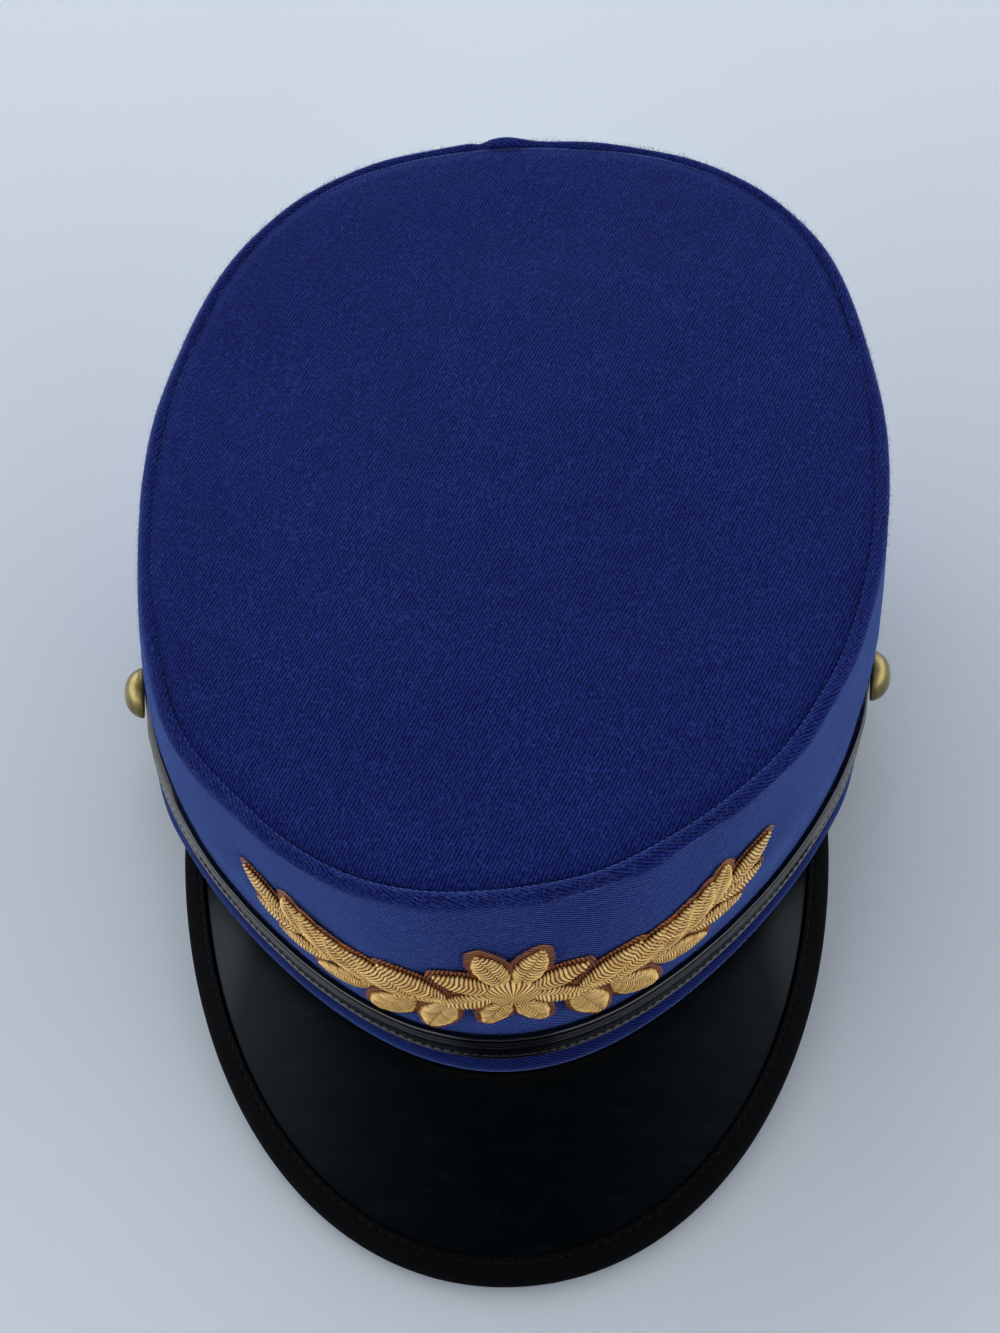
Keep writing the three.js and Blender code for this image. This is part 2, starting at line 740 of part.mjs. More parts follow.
// A body of triangles as a solid that can be joined
function solidOf(geometry) {
  geometry.deleteAttribute('normal');
  geometry.deleteAttribute('uv');
  const merged = mergeVertices(geometry);
  const vertProperties = new Float32Array(merged.getAttribute('position').array);
  const triVerts = new Uint32Array(merged.getIndex().array);
  return new wasm.Manifold(new wasm.Mesh({ numProp: 3, vertProperties, triVerts }));
}

function frontEmblem() {
  const [first, ...others] = emblemBodies().map(solidOf);
  const joined = others.reduce((whole, body) => whole.add(body), first).getMesh();
  const geometry = new THREE.BufferGeometry();
  geometry.setAttribute('position', new THREE.Float32BufferAttribute(joined.vertProperties, 3));
  geometry.setIndex(Array.from(joined.triVerts));
  geometry.computeVertexNormals();
  return geometry;
}

function namedMesh(name, geometry, material) {
  const mesh = new THREE.Mesh(geometry, material);
  mesh.name = name;
  return mesh;
}

// The pitch at which the cap stands on the back of its rim and on the peak's binding
function restPitch(binding) {
  const places = binding.geometry.getAttribute('position');
  let steepest = 0;
  for (let i = 0; i < places.count; i += 1) {
    const pitch = Math.atan2(-places.getZ(i), RIM_HALF_LENGTH - places.getY(i));
    steepest = Math.max(steepest, pitch);
  }
  return steepest;
}

const binding = namedMesh('peak_binding', peakBinding(), tape);
const pitched = new THREE.Group();
pitched.add(
  namedMesh('crown_side', crownSide(), cloth),
  namedMesh('crown_top', crownTop(), topCloth),
  namedMesh('peak', peak(), vinyl),
  binding,
  namedMesh('chin_strap', chinStrap(), patent),
  buttonMesh('button_right', BUTTON_SHARE),
  buttonMesh('button_left', 1 - BUTTON_SHARE),
  namedMesh('front_emblem', frontEmblem(), gold),
);
pitched.rotation.x = -restPitch(binding);

const cap = new THREE.Group();
cap.add(pitched);
cap.updateMatrixWorld(true);
const box = new THREE.Box3().setFromObject(cap, true);
pitched.position.set(-(box.min.x + box.max.x) / 2, -(box.min.y + box.max.y) / 2, -box.min.z);

export default cap;
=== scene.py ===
"""A conductor's cap: blue twill, a black vinyl peak, a patent strap, brass buttons and gold thread.

The shapes are drawn in millimetres on the cap's own level rim. CapStance turns them into metres where
the cap lies, pitched on the back of its rim and the tip of its peak.
"""
import logging
import math
from dataclasses import dataclass, field
from enum import Enum
from typing import Callable

import bmesh
import bpy
import numpy as np
from mathutils import Matrix, Vector


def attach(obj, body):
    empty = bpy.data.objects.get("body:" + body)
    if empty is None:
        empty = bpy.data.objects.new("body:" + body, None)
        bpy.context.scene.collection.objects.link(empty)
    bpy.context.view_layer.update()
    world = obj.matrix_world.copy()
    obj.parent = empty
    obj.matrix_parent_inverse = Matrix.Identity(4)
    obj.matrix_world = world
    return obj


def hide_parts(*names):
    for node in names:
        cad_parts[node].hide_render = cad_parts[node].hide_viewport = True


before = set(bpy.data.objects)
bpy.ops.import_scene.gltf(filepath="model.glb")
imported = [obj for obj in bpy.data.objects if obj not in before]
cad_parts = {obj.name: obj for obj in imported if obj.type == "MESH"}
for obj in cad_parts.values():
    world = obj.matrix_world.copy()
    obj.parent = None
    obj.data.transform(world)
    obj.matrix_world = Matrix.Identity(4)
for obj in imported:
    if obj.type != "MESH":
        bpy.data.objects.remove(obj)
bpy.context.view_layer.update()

LOG = logging.getLogger("cap")
Array = np.ndarray
Pair = tuple[float, float]
Triple = tuple[float, float, float]
Colour = tuple[float, float, float]
Corners = tuple[Pair, ...]
Material = bpy.types.Material
Piece = bpy.types.Object
Socket = bpy.types.NodeSocket
FULL_TURN = 2.0 * math.pi
FRONT = 0.5
MILLIMETRE = 0.001
CHART = "chart"
CAP_MIDDLE = (0.0, 0.0, 0.04)


def smoothstep(value: Array, low: float, high: float) -> Array:
    """Rises softly from 0 at low to 1 at high."""
    way = np.clip((value - low) / (high - low), 0.0, 1.0)
    return way * way * (3.0 - 2.0 * way)


def lerp(start: Array, end: Array, way: Array) -> Array:
    """Goes straight from start to end."""
    return start + (end - start) * way


def travelled(line: Array) -> Array:
    """Measures how far each point lies along a line."""
    return np.concatenate([[0.0], np.cumsum(np.linalg.norm(np.diff(line, axis=0), axis=-1))])


def raised(plan: Array, height: Array) -> Array:
    """Puts points in plan at their heights."""
    return np.concatenate([plan, height[..., None]], -1)


def ringed(grid: Array) -> Array:
    """Repeats a grid's first column after its last, so that it closes on itself."""
    return np.concatenate([grid, grid[:, :1]], 1)


def softened(table: Corners, steps: int, blur: float) -> Array:
    """Draws a line through a short table of corners and softens them.

    Args:
        table: The corners, each a pair of numbers.
        steps: How many points the line gets.
        blur: How far a corner is spread, in steps.

    Returns:
        The line's points, steps rows of two numbers, with its ends kept.
    """
    corners = np.array(table, float)
    travel = travelled(corners)
    at = np.linspace(0.0, travel[-1], steps)
    line = np.stack([np.interp(at, travel, corners[:, axis]) for axis in (0, 1)], -1)
    reach = max(1, round(3 * blur))
    weights = np.exp(-0.5 * (np.arange(-reach, reach + 1) / blur) ** 2)
    padded = np.concatenate([2 * line[:1] - line[reach:0:-1], line, 2 * line[-1:] - line[-2:-reach - 2:-1]])
    return np.stack([np.convolve(padded[:, axis], weights / weights.sum(), "valid") for axis in (0, 1)], -1)


@dataclass(frozen=True)
class Unevenness:
    """Soft waves that keep a surface from being perfectly even, periodic round the cap."""

    seed: int
    around: tuple[int, int]
    across: Pair
    waves: int = 14

    def at(self, share: Array, height: Array) -> Array:
        """Gives the wave's height at places on the surface.

        Args:
            share: Places round the cap, as shares of a turn.
            height: Places across the surface, in millimetres.

        Returns:
            Heights, mostly between -1 and 1.
        """
        rng = np.random.default_rng(self.seed)
        total = np.zeros(np.broadcast(share, height).shape)
        for _ in range(self.waves):
            turns = rng.integers(*self.around)
            lean = rng.uniform(*self.across) * rng.choice((-1.0, 1.0))
            total += np.cos(FULL_TURN * (turns * share + lean * height + rng.uniform()))
        return total / math.sqrt(self.waves / 2.0) / 2.0


@dataclass(frozen=True)
class EdgeWave:
    """One wave of the crown's edge, out or in from its plain oval, in millimetres."""

    at: float
    spread: float
    out: float


def swells(waves: tuple[EdgeWave, ...], share: Array) -> Array:
    """Adds up waves of the edge at places round the cap."""
    total = np.zeros(np.shape(share))
    for wave in waves:
        away = np.abs(share - wave.at) % 1.0
        total = total + wave.out * np.exp(-((np.minimum(away, 1.0 - away) / wave.spread) ** 2))
    return total


@dataclass(frozen=True)
class Hollow:
    """A soft hollow of the top panel, in shares of the crown's half sizes, and its depth in millimetres."""

    across: float
    along: float
    spread: float
    depth: float


@dataclass(frozen=True)
class CapForm:
    """The outlines of the cap's wall and crown.

    Places round the cap are shares of a turn: 0 at the back, 0.25 at +X, 0.5 at the front, 0.75 at -X.
    """

    rim_half: Pair = (88.0, 102.0)
    rim_egg: float = 0.066
    rim_point: float = 0.029
    crown_half: Pair = (77.6, 95.6)
    crown_egg: float = 0.062
    crown_point: float = -0.021
    crown_forward: float = 4.9
    crown_aside: float = 4.5
    crown_skew: float = 0.058
    front_height: float = 71.8
    back_height: float = 90.9
    roll_radius: float = 2.4
    groove_turn: float = 108.0
    fit_gap: float = 0.3
    strap_foot: float = 4.6
    strap_width: float = 8.8
    strap_draw_depth: float = 2.3
    side_hold: float = 0.85
    side_hold_end: Pair = (0.275, 0.318)
    waves: tuple[EdgeWave, ...] = tuple(EdgeWave(*wave) for wave in (
        (0.02, 0.025, -0.6), (0.19, 0.035, -1.35), (0.30, 0.050, 0.75), (0.41, 0.035, -1.425),
        (0.54, 0.035, 1.275), (0.61, 0.022, -0.75), (0.655, 0.020, 0.9), (0.74, 0.045, -0.975),
        (0.815, 0.035, -1.275), (0.92, 0.045, 1.425),
    ))

    def oval(self, half: Pair, egg: float, point: Array, share: Array) -> Array:
        """Draws an oval in plan, wider at its back by egg and drawn in between its ends by point.

        Args:
            half: Half the oval's width and half its length.
            egg: How much wider the back is.
            point: How far the oval is drawn to a point, or filled out where it is below zero.
            share: Places round it.

        Returns:
            Points in plan.
        """
        angle = share * FULL_TURN
        across = (1 - point) * np.sin(angle) - point * np.sin(3 * angle)
        along = (1 - point) * np.cos(angle) + point * np.cos(3 * angle)
        return np.stack([half[0] * across * (1 + egg * np.cos(angle)), half[1] * along], -1)

    def outward(self, outline: Callable[[Array], Array], share: Array) -> Array:
        """Gives the direction straight out of an outline, in plan."""
        step = 0.002
        ahead = outline(share + step) - outline(share - step)
        out = np.stack([-ahead[..., 1], ahead[..., 0]], -1)
        return out / np.linalg.norm(out, axis=-1, keepdims=True)

    def frontness(self, share: Array) -> Array:
        """Is 1 round the front half and 0 round the back, softly in between."""
        return smoothstep(-np.cos(share * FULL_TURN), -0.45, 0.15)

    def rim(self, share: Array) -> Array:
        """Draws the wall's lower edge in plan."""
        return self.oval(self.rim_half, self.rim_egg, self.rim_point * self.frontness(share), share)

    def rim_outward(self, share: Array) -> Array:
        """Gives the direction out of the rim, in plan."""
        return self.outward(self.rim, share)

    def leaning_oval(self, share: Array) -> Array:
        """Draws the crown's plain oval, which leans forward and aside from the rim."""
        plain = self.oval(self.crown_half, self.crown_egg, self.crown_point, share)
        across = plain[..., 0] + self.crown_aside + self.crown_skew * plain[..., 1]
        return np.stack([across, plain[..., 1] - self.crown_forward], -1)

    def crown_outward(self, share: Array) -> Array:
        """Gives the direction out of the crown, in plan."""
        return self.outward(self.leaning_oval, share)

    def seam(self, share: Array) -> Array:
        """Draws the crown's seam in plan, with the waves of its edge."""
        return self.leaning_oval(share) + self.crown_outward(share) * swells(self.waves, share)[..., None]

    def crown_height(self, along: Array) -> Array:
        """Gives the height of the crown's sloping plane over the rim."""
        way = (along + self.crown_forward + self.crown_half[1]) / (2 * self.crown_half[1])
        return lerp(self.front_height, self.back_height, way)

    def roll_height(self, share: Array) -> Array:
        """Gives the height of the roll's middle at places round the cap."""
        return self.crown_height(self.leaning_oval(share)[..., 1]) - self.roll_radius

    def strap_draw(self, share: Array, height: Array) -> Array:
        """Gives how far the wall is drawn in by the strap, and held in at the foot beside the peak."""
        rise = smoothstep(height, 0.0, self.strap_foot + self.strap_width / 2)
        beside = 1 - smoothstep(FRONT - np.abs(share - FRONT), *self.side_hold_end)
        rise = lerp(rise, 1.0, self.side_hold * beside)
        fade = smoothstep(height, self.strap_foot + self.strap_width, self.strap_foot + 4 * self.strap_width)
        return self.strap_draw_depth * self.frontness(share) * rise * (1 - fade)

    def wall(self, share: Array, height: Array, out: Array = 0.0) -> Array:
        """Gives points of the wall's outside, or outside it by some distance.

        Args:
            share: Places round the cap.
            height: Heights over the rim.
            out: Distances out from the wall.

        Returns:
            Points of the level cap.
        """
        share, height, out = np.broadcast_arrays(np.asarray(share, float), height, out)
        rise = (height / self.roll_height(share))[..., None]
        shoulder = self.seam(share) + self.crown_outward(share) * self.roll_radius
        plan = lerp(self.rim(share), shoulder, rise)
        plan = plan + self.rim_outward(share) * (out - self.strap_draw(share, height))[..., None]
        return raised(plan, height)

    def wall_normal(self, share: float, height: float) -> Array:
        """Gives the direction out of the wall at one place, square to its lean."""
        up = self.wall(share, height + 1.0) - self.wall(share, height - 1.0)
        out = np.append(self.rim_outward(np.asarray(share, float)), 0.0)
        normal = np.cross(np.cross([0.0, 0.0, 1.0], out), up)
        return normal / np.linalg.norm(normal)

    def roll(self, share: Array, radius: Array, degrees: Array) -> Array:
        """Gives points of the roll, by their distance from its middle and their turn over it."""
        turn = np.radians(degrees)
        plan = self.seam(share) + self.crown_outward(share) * (radius * np.cos(turn))[..., None]
        height = self.roll_height(share) + radius * np.sin(turn)
        return raised(plan, height)

    def share_abeam(self, along: Array) -> Array:
        """Gives the share of a turn at which the rim's +X side passes a place along the cap."""
        low = np.zeros(np.shape(along))
        high = np.full(np.shape(along), FRONT)
        for _ in range(40):
            middle = (low + high) / 2
            past = self.rim(middle)[..., 1] > along
            low = np.where(past, middle, low)
            high = np.where(past, high, middle)
        return low


@dataclass(frozen=True)
class CapStance:
    """How the level cap lies: pitched back, and shifted to the middle of its box."""

    pitch: float = 0.08344840621725585
    shift: Triple = (-0.5264627397483181, 20.98998500212351, 8.501862098953405)

    def turn(self, level: Array) -> Array:
        """Turns directions of the level cap as it lies."""
        cos, sin = math.cos(self.pitch), math.sin(self.pitch)
        along, height = level[..., 1], level[..., 2]
        return np.stack([level[..., 0], along * cos + height * sin, height * cos - along * sin], -1)

    def place(self, level: Array) -> Array:
        """Moves points of the level cap, in millimetres, to where they lie, in metres."""
        return (self.turn(level) + np.array(self.shift)) * MILLIMETRE


FORM = CapForm()
STANCE = CapStance()


@dataclass
class Making:
    """A piece under construction, made of grids that are laid over rows of points."""

    name: str
    bm: bmesh.types.BMesh = field(default_factory=bmesh.new)

    def lay(self, points: Array, chart: Array) -> None:
        """Makes a grid and lays it over rows of points.

        Args:
            points: Rows of points in metres. Where rows or ends meet, the grid closes there.
            chart: The place of each point on the flat cut, in metres.
        """
        rows, columns = points.shape[:2]
        layer = self.bm.loops.layers.uv.get(CHART) or self.bm.loops.layers.uv.new(CHART)
        grid = bmesh.ops.create_grid(self.bm, x_segments=columns - 1, y_segments=rows - 1, size=0.5)
        spots = {}
        for vert in grid["verts"]:
            column = round((vert.co.x + 0.5) * (columns - 1))
            row = round((vert.co.y + 0.5) * (rows - 1))
            spots[vert] = (row, column)
        for face in {face for vert in spots for face in vert.link_faces}:
            for loop in face.loops:
                loop[layer].uv = chart[spots[loop.vert]]
        for vert, spot in spots.items():
            vert.co = points[spot]

    def stitch(self, middle: Array, ahead: Array, out: Array, length: float, radius: float) -> None:
        """Adds one stitch, a short round-ended thread.

        Args:
            middle: The stitch's middle, in metres.
            ahead: The direction that it runs in.
            out: The direction out of what it is sewn to.
            length: Its length in metres.
            radius: Its radius in metres.
        """
        long, up = Vector(ahead).normalized(), Vector(out).normalized()
        turn = Matrix((long, up.cross(long).normalized(), up)).transposed().to_4x4()
        size = Matrix.Diagonal((length / 2, radius, radius, 1.0))
        bmesh.ops.create_uvsphere(
            self.bm, u_segments=6, v_segments=5, radius=1.0,
            matrix=Matrix.Translation(Vector(middle)) @ turn @ size,
        )

    def sew(self, route: Array, outer: Array, pitch: float, size: Pair) -> None:
        """Adds a row of stitches along a line of the level cap and closes them.

        Args:
            route: The line that they follow, in small steps.
            outer: A line straight out from it.
            pitch: The distance from stitch to stitch.
            size: A stitch's length, as a share of the pitch, and its radius.
        """
        travel = travelled(route)
        for at in np.arange(pitch, travel[-1] - pitch, pitch):
            index = int(np.searchsorted(travel, at))
            self.stitch(
                STANCE.place(route[index]), STANCE.turn(route[index + 8] - route[index - 8]),
                STANCE.turn(outer[index] - route[index]), size[0] * pitch * MILLIMETRE,
                size[1] * MILLIMETRE,
            )
        self.close(1e-9)

    def skin(self, level: Array) -> None:
        """Lays rows of points of the level cap and closes the skin that they make."""
        points = STANCE.place(level)
        self.lay(points, flat_chart(points))
        self.close()

    def take(self, lot: bmesh.types.BMesh) -> None:
        """Adds a small lot of shapes that was made by itself, which is quicker than one by one."""
        mesh = bpy.data.meshes.new("lot")
        lot.to_mesh(mesh)
        lot.free()
        self.bm.from_mesh(mesh)
        bpy.data.meshes.remove(mesh)

    def close(self, merge: float = 1e-6) -> None:
        """Joins the edges that meet, fills what is open, and points the faces out."""
        bmesh.ops.remove_doubles(self.bm, verts=self.bm.verts, dist=merge)
        open_edges = [edge for edge in self.bm.edges if edge.is_boundary]
        if open_edges:
            bmesh.ops.holes_fill(self.bm, edges=open_edges, sides=0)
        bmesh.ops.recalc_face_normals(self.bm, faces=self.bm.faces)
        for face in self.bm.faces:
            face.smooth = True

    def done(self, material: Material, slot: str, replaces: tuple[str, ...] = ()) -> Piece:
        """Turns the making into a piece of the cap.

        Args:
            material: Its finish.
            slot: Not used.
            replaces: The solids that it stands for.

        Returns:
            The piece, riding with the cap.
        """
        mesh = bpy.data.meshes.new(self.name)
        self.bm.to_mesh(mesh)
        self.bm.free()
        piece = bpy.data.objects.new(self.name, mesh)
        bpy.context.scene.collection.objects.link(piece)
        mesh.materials.append(material)
        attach(piece, "root")
        if replaces:
            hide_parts(*replaces)
        triangles = sum(len(face.vertices) - 2 for face in mesh.polygons)
        LOG.info("%s: %d triangles", self.name, triangles)
        return piece


def flat_chart(points: Array) -> Array:
    """Measures how far each point lies along the middle row and the middle column, in metres."""
    rows, columns = points.shape[:2]
    along, up = travelled(points[rows // 2]), travelled(points[:, columns // 2])
    return np.stack(np.broadcast_arrays(along[None, :], up[:, None]), -1)


class Channel:
    """A number that changes over a surface, from a node's socket, used in plain sums."""

    def __init__(self, recipe: "Bench", socket: Socket) -> None:
        """Wraps one output socket of a node tree being made."""
        self.recipe = recipe
        self.socket = socket

    def _sum(self, operation: str, first: object, second: object = 0.0) -> "Channel":
        """Adds one Math node and wraps its result."""
        node = self.recipe.node("ShaderNodeMath", {"operation": operation}, {0: first, 1: second})
        return Channel(self.recipe, node.outputs[0])

    def __add__(self, other: object) -> "Channel":
        """Adds a channel or a number."""
        return self._sum("ADD", self, other)

    def __radd__(self, other: object) -> "Channel":
        """Adds to a number."""
        return self._sum("ADD", other, self)

    def __sub__(self, other: object) -> "Channel":
        """Takes a channel or a number away."""
        return self._sum("SUBTRACT", self, other)

    def __rsub__(self, other: object) -> "Channel":
        """Takes this away from a number."""
        return self._sum("SUBTRACT", other, self)

    def __mul__(self, other: object) -> "Channel":
        """Multiplies by a channel or a number."""
        return self._sum("MULTIPLY", self, other)

    def __rmul__(self, other: object) -> "Channel":
        """Multiplies a number."""
        return self._sum("MULTIPLY", other, self)

    def __truediv__(self, other: object) -> "Channel":
        """Divides by a channel or a number."""
        return self._sum("DIVIDE", self, other)

    def wave(self) -> "Channel":
        """Turns whole steps into a wave between 0 and 1."""
        return self._sum("SINE", self * FULL_TURN) * 0.5 + 0.5

    def floor(self) -> "Channel":
        """Drops what is past the whole number."""
        return self._sum("FLOOR", self)

    def at_most(self, other: object) -> "Channel":
        """Takes the smaller of this and another."""
        return self._sum("MINIMUM", self, other)

    def at_least(self, other: object) -> "Channel":
        """Takes the larger of this and another."""
        return self._sum("MAXIMUM", self, other)

    def within(self, low: float, high: float) -> "Channel":
        """Rises softly from 0 at low to 1 at high."""
        node = self.recipe.node(
            "ShaderNodeMapRange", {"interpolation_type": "SMOOTHSTEP"},
            {"Value": self, "From Min": low, "From Max": high},
        )
        return Channel(self.recipe, node.outputs[0])


class Coordinates(Enum):
    """Where a finish reads its pattern's place from."""

    OBJECT = "Object"
    CHART = "Chart"


class Bench:
    """A node tree being made, node by node."""

    def __init__(self, tree: bpy.types.NodeTree) -> None:
        """Starts with an empty tree."""
        self.tree = tree
        self.tree.nodes.clear()

    def node(self, kind: str, settings: dict | None = None, inputs: dict | None = None) -> bpy.types.Node:
        """Adds a node.

        Args:
            kind: Its Blender type.
            settings: Its own settings, set first. "stops" are a ramp's places and colours.
            inputs: Values, channels or sockets for its inputs, by name or number.

        Returns:
            The node.
        """
        made = self.tree.nodes.new(kind)
        for key, value in (settings or {}).items():
            if key == "stops":
                ramp = made.color_ramp
                while len(ramp.elements) < len(value):
                    ramp.elements.new(0.5)
                for element, (place, colour) in zip(ramp.elements, value):
                    element.position = place
                    element.color = (*colour, 1.0)
            else:
                setattr(made, key, value)
        for key, value in (inputs or {}).items():
            self.feed(made.inputs[key], value)
        return made

    def feed(self, socket: Socket, value: object) -> None:
        """Links a channel or socket to an input, or sets a plain value there."""
        if isinstance(value, Channel):
            value = value.socket
        if isinstance(value, Socket):
            self.tree.links.new(value, socket)
        elif isinstance(value, tuple) and len(value) == 3 and socket.type == "RGBA":
            socket.default_value = (*value, 1.0)
        else:
            socket.default_value = value

    def place(self, source: Coordinates) -> Socket:
        """Gives the pattern's place on the surface, in metres."""
        if source is Coordinates.CHART:
            return self.node("ShaderNodeUVMap", {"uv_map": CHART}).outputs[0]
        return self.node("ShaderNodeTexCoord").outputs["Object"]

    def axes(self, vector: Socket) -> tuple[Channel, Channel, Channel]:
        """Splits a place into its three numbers."""
        split = self.node("ShaderNodeSeparateXYZ", None, {0: vector})
        return tuple(Channel(self, socket) for socket in split.outputs)

    def noise(self, vector: Socket, scale: float, detail: float = 2.0,
              rough: float = 0.5) -> Channel:
        """Adds a soft noise of so many lumps to the metre."""
        made = self.node(
            "ShaderNodeTexNoise", None,
            {"Vector": vector, "Scale": scale, "Detail": detail, "Roughness": rough},
        )
        return Channel(self, made.outputs["Fac"])

    def stretched(self, vector: Socket, scale: Triple,
                  turn: float = 0.0) -> Socket:
        """Turns and stretches a pattern's place."""
        made = self.node(
            "ShaderNodeMapping", None,
            {"Vector": vector, "Scale": scale, "Rotation": (0.0, 0.0, turn)},
        )
        return made.outputs[0]

    def blend(self, share: object, first: object, second: object) -> Socket:
        """Mixes two colours."""
        made = self.node("ShaderNodeMix", {"data_type": "RGBA"}, {0: share, 6: first, 7: second})
        return made.outputs[2]


class Recipe(Bench):
    """A material being made round a Principled shader."""

    def __init__(self, name: str) -> None:
        """Starts an empty material with its shader."""
        self.material = bpy.data.materials.new(name)
        self.material.use_nodes = True
        super().__init__(self.material.node_tree)
        self.shader = self.node("ShaderNodeBsdfPrincipled")
        self.node("ShaderNodeOutputMaterial", None, {"Surface": self.shader.outputs[0]})

    def bump(self, height: Channel, depth: float, strength: float = 1.0,
             over: Socket | None = None) -> Socket:
        """Raises the surface by a channel.

        Args:
            height: The relief, mostly 0 to 1.
            depth: How many metres a relief of 1 stands up.
            strength: How much of it shows.
            over: A relief that it lies on.

        Returns:
            The normal.
        """
        inputs = {"Height": height, "Distance": depth, "Strength": strength}
        if over is not None:
            inputs["Normal"] = over
        return self.node("ShaderNodeBump", None, inputs).outputs[0]

    def finish(self, **sockets: object) -> Material:
        """Sets the shader's sockets, named with underscores, and gives the material."""
        for name, value in sockets.items():
            self.feed(self.shader.inputs[name.replace("_", " ")], value)
        return self.material


def paint(red: int, green: int, blue: int) -> Colour:
    """Turns a colour as seen, 0 to 255, into the light that it sends back."""
    return tuple(
        value / 12.92 if value <= 0.04045 else ((value + 0.055) / 1.055) ** 2.4
        for value in (red / 255, green / 255, blue / 255)
    )


@dataclass(frozen=True)
class TwillCloth:
    """Blue worsted twill with raised slanting wales and a short fuzz. Where foot is set, painted shade
    darkens the lowest strip of the wall, under the strap.
    """

    name: str
    wale_degrees: float
    wale_pitch: float = 0.00071
    thread_pitch: float = 0.0006
    ridge: Colour = paint(23, 38, 112)
    furrow: Colour = paint(3, 7, 46)
    worn: Colour = paint(52, 72, 148)
    depth: float = 0.0002
    sheen: float = 0.6
    # foot, foot_height and foot_shade paint shade on the lowest strip of the wall: full below foot, fading
    # out over foot_height, as dark as foot_shade sets.
    foot: float = 0.0
    foot_height: float = 0.0012
    foot_shade: float = 0.68

    def make(self) -> Material:
        """Makes the material."""
        recipe = Recipe(self.name)
        place = recipe.place(Coordinates.CHART)
        solid = recipe.place(Coordinates.OBJECT)
        across, up, _ = recipe.axes(place)
        angle = math.radians(self.wale_degrees)
        waver = recipe.noise(place, 90.0) * 0.5 + recipe.noise(place, 520.0) * 0.7
        wale = (across * math.sin(angle) - up * math.cos(angle)) / self.wale_pitch + waver
        along = (across * math.cos(angle) + up * math.sin(angle)) / self.thread_pitch
        ridge = wale.wave()
        thread = (along + wale * 0.5 + waver).wave()
        yarn = recipe.noise(recipe.stretched(place, (1.0, 0.4, 1.0), angle), 2300.0, 3.0, 0.65)
        hair = recipe.noise(solid, 1500.0, 3.0, 0.75)
        height = ridge * 0.6 + thread * ridge * 0.22 + yarn * 0.4 + hair * 0.3
        patch = recipe.noise(solid, 26.0, 4.0, 0.6)
        rubbed = recipe.noise(solid, 210.0, 4.0, 0.7)
        tone = ridge * 0.8 + thread * 0.16 + (yarn - 0.5) * 1.5 + (hair - 0.5) * 1.1 - 0.03
        cloth = recipe.blend(tone.within(-0.05, 1.05), self.furrow, self.ridge)
        lifted = ((rubbed - 0.5) * 0.4 + (hair - 0.5) * 1.9).at_least(0.0)
        cloth = recipe.blend(lifted.at_most(0.55), cloth, self.worn)
        # Painted shade: low is 1 on the lowest strip of the wall, under the strap, and 0 where foot is not
        # set.
        low = 1.0 - (up - self.foot).within(0.0, self.foot_height) if self.foot else 0.0
        # shade holds random large mottling plus the painted shade of the foot strip, which is darker still in
        # the furrows.
        shade = patch.within(0.25, 0.8) * 0.25 + (1.25 - ridge) * low * self.foot_shade
        mottled_and_foot_shaded = recipe.blend(shade.at_most(0.92), cloth, self.furrow)
        return recipe.finish(
            Base_Color=mottled_and_foot_shaded, Roughness=0.95, Specular_IOR_Level=0.08,
            Sheen_Weight=self.sheen, Sheen_Roughness=0.3, Sheen_Tint=paint(112, 142, 216),
            Normal=recipe.bump(height, self.depth, 0.7),
        )


@dataclass(frozen=True)
class PeakVinyl:
    """Smooth black vinyl, semi-gloss, with a very fine grain."""

    name: str = "black_vinyl"
    black: Colour = paint(2, 5, 7)
    grey: Colour = paint(8, 13, 15)

    def make(self) -> Material:
        """Makes the material."""
        recipe = Recipe(self.name)
        place = recipe.place(Coordinates.OBJECT)
        grain = recipe.noise(place, 2400.0, 3.0, 0.55)
        pores = recipe.noise(place, 900.0, 2.0, 0.5)
        waves = recipe.noise(place, 22.0, 2.0, 0.4)
        rub = recipe.noise(recipe.stretched(place, (1.0, 2.4, 1.0), 0.5), 120.0, 4.0, 0.7)
        colour = recipe.blend(rub.within(0.45, 0.8) * 0.7, self.black, self.grey)
        relief = recipe.bump(waves, 0.0012, 0.35)
        relief = recipe.bump(grain * 0.6 + pores * 0.5, 0.00002, 0.6, relief)
        return recipe.finish(
            Base_Color=colour, Roughness=rub * 0.08 + 0.22, Specular_IOR_Level=0.23,
            Specular_Tint=paint(226, 243, 252), Coat_Weight=0.03, Coat_Roughness=0.14, Normal=relief,
        )


@dataclass(frozen=True)
class WovenTape:
    """Black binding tape with fine ribs across it."""

    name: str = "black_tape"
    rib_pitch: float = 0.00055
    black: Colour = paint(2, 2, 4)
    grey: Colour = paint(6, 6, 9)

    def make(self) -> Material:
        """Makes the material."""
        recipe = Recipe(self.name)
        place = recipe.place(Coordinates.CHART)
        along, around, _ = recipe.axes(place)
        waver = recipe.noise(place, 300.0) * 0.5
        rib = (along / self.rib_pitch + waver).wave()
        thread = (around / (self.rib_pitch * 0.7) + rib).wave()
        fluff = recipe.noise(place, 3800.0, 3.0, 0.65)
        height = rib * 0.6 + thread * 0.25 + fluff * 0.3
        colour = recipe.blend((rib * 0.5 + fluff * 0.5 - 0.1).within(0.2, 0.9), self.black, self.grey)
        return recipe.finish(
            Base_Color=colour, Roughness=0.72, Specular_IOR_Level=0.04,
            Normal=recipe.bump(height, 0.00016, 0.7),
        )


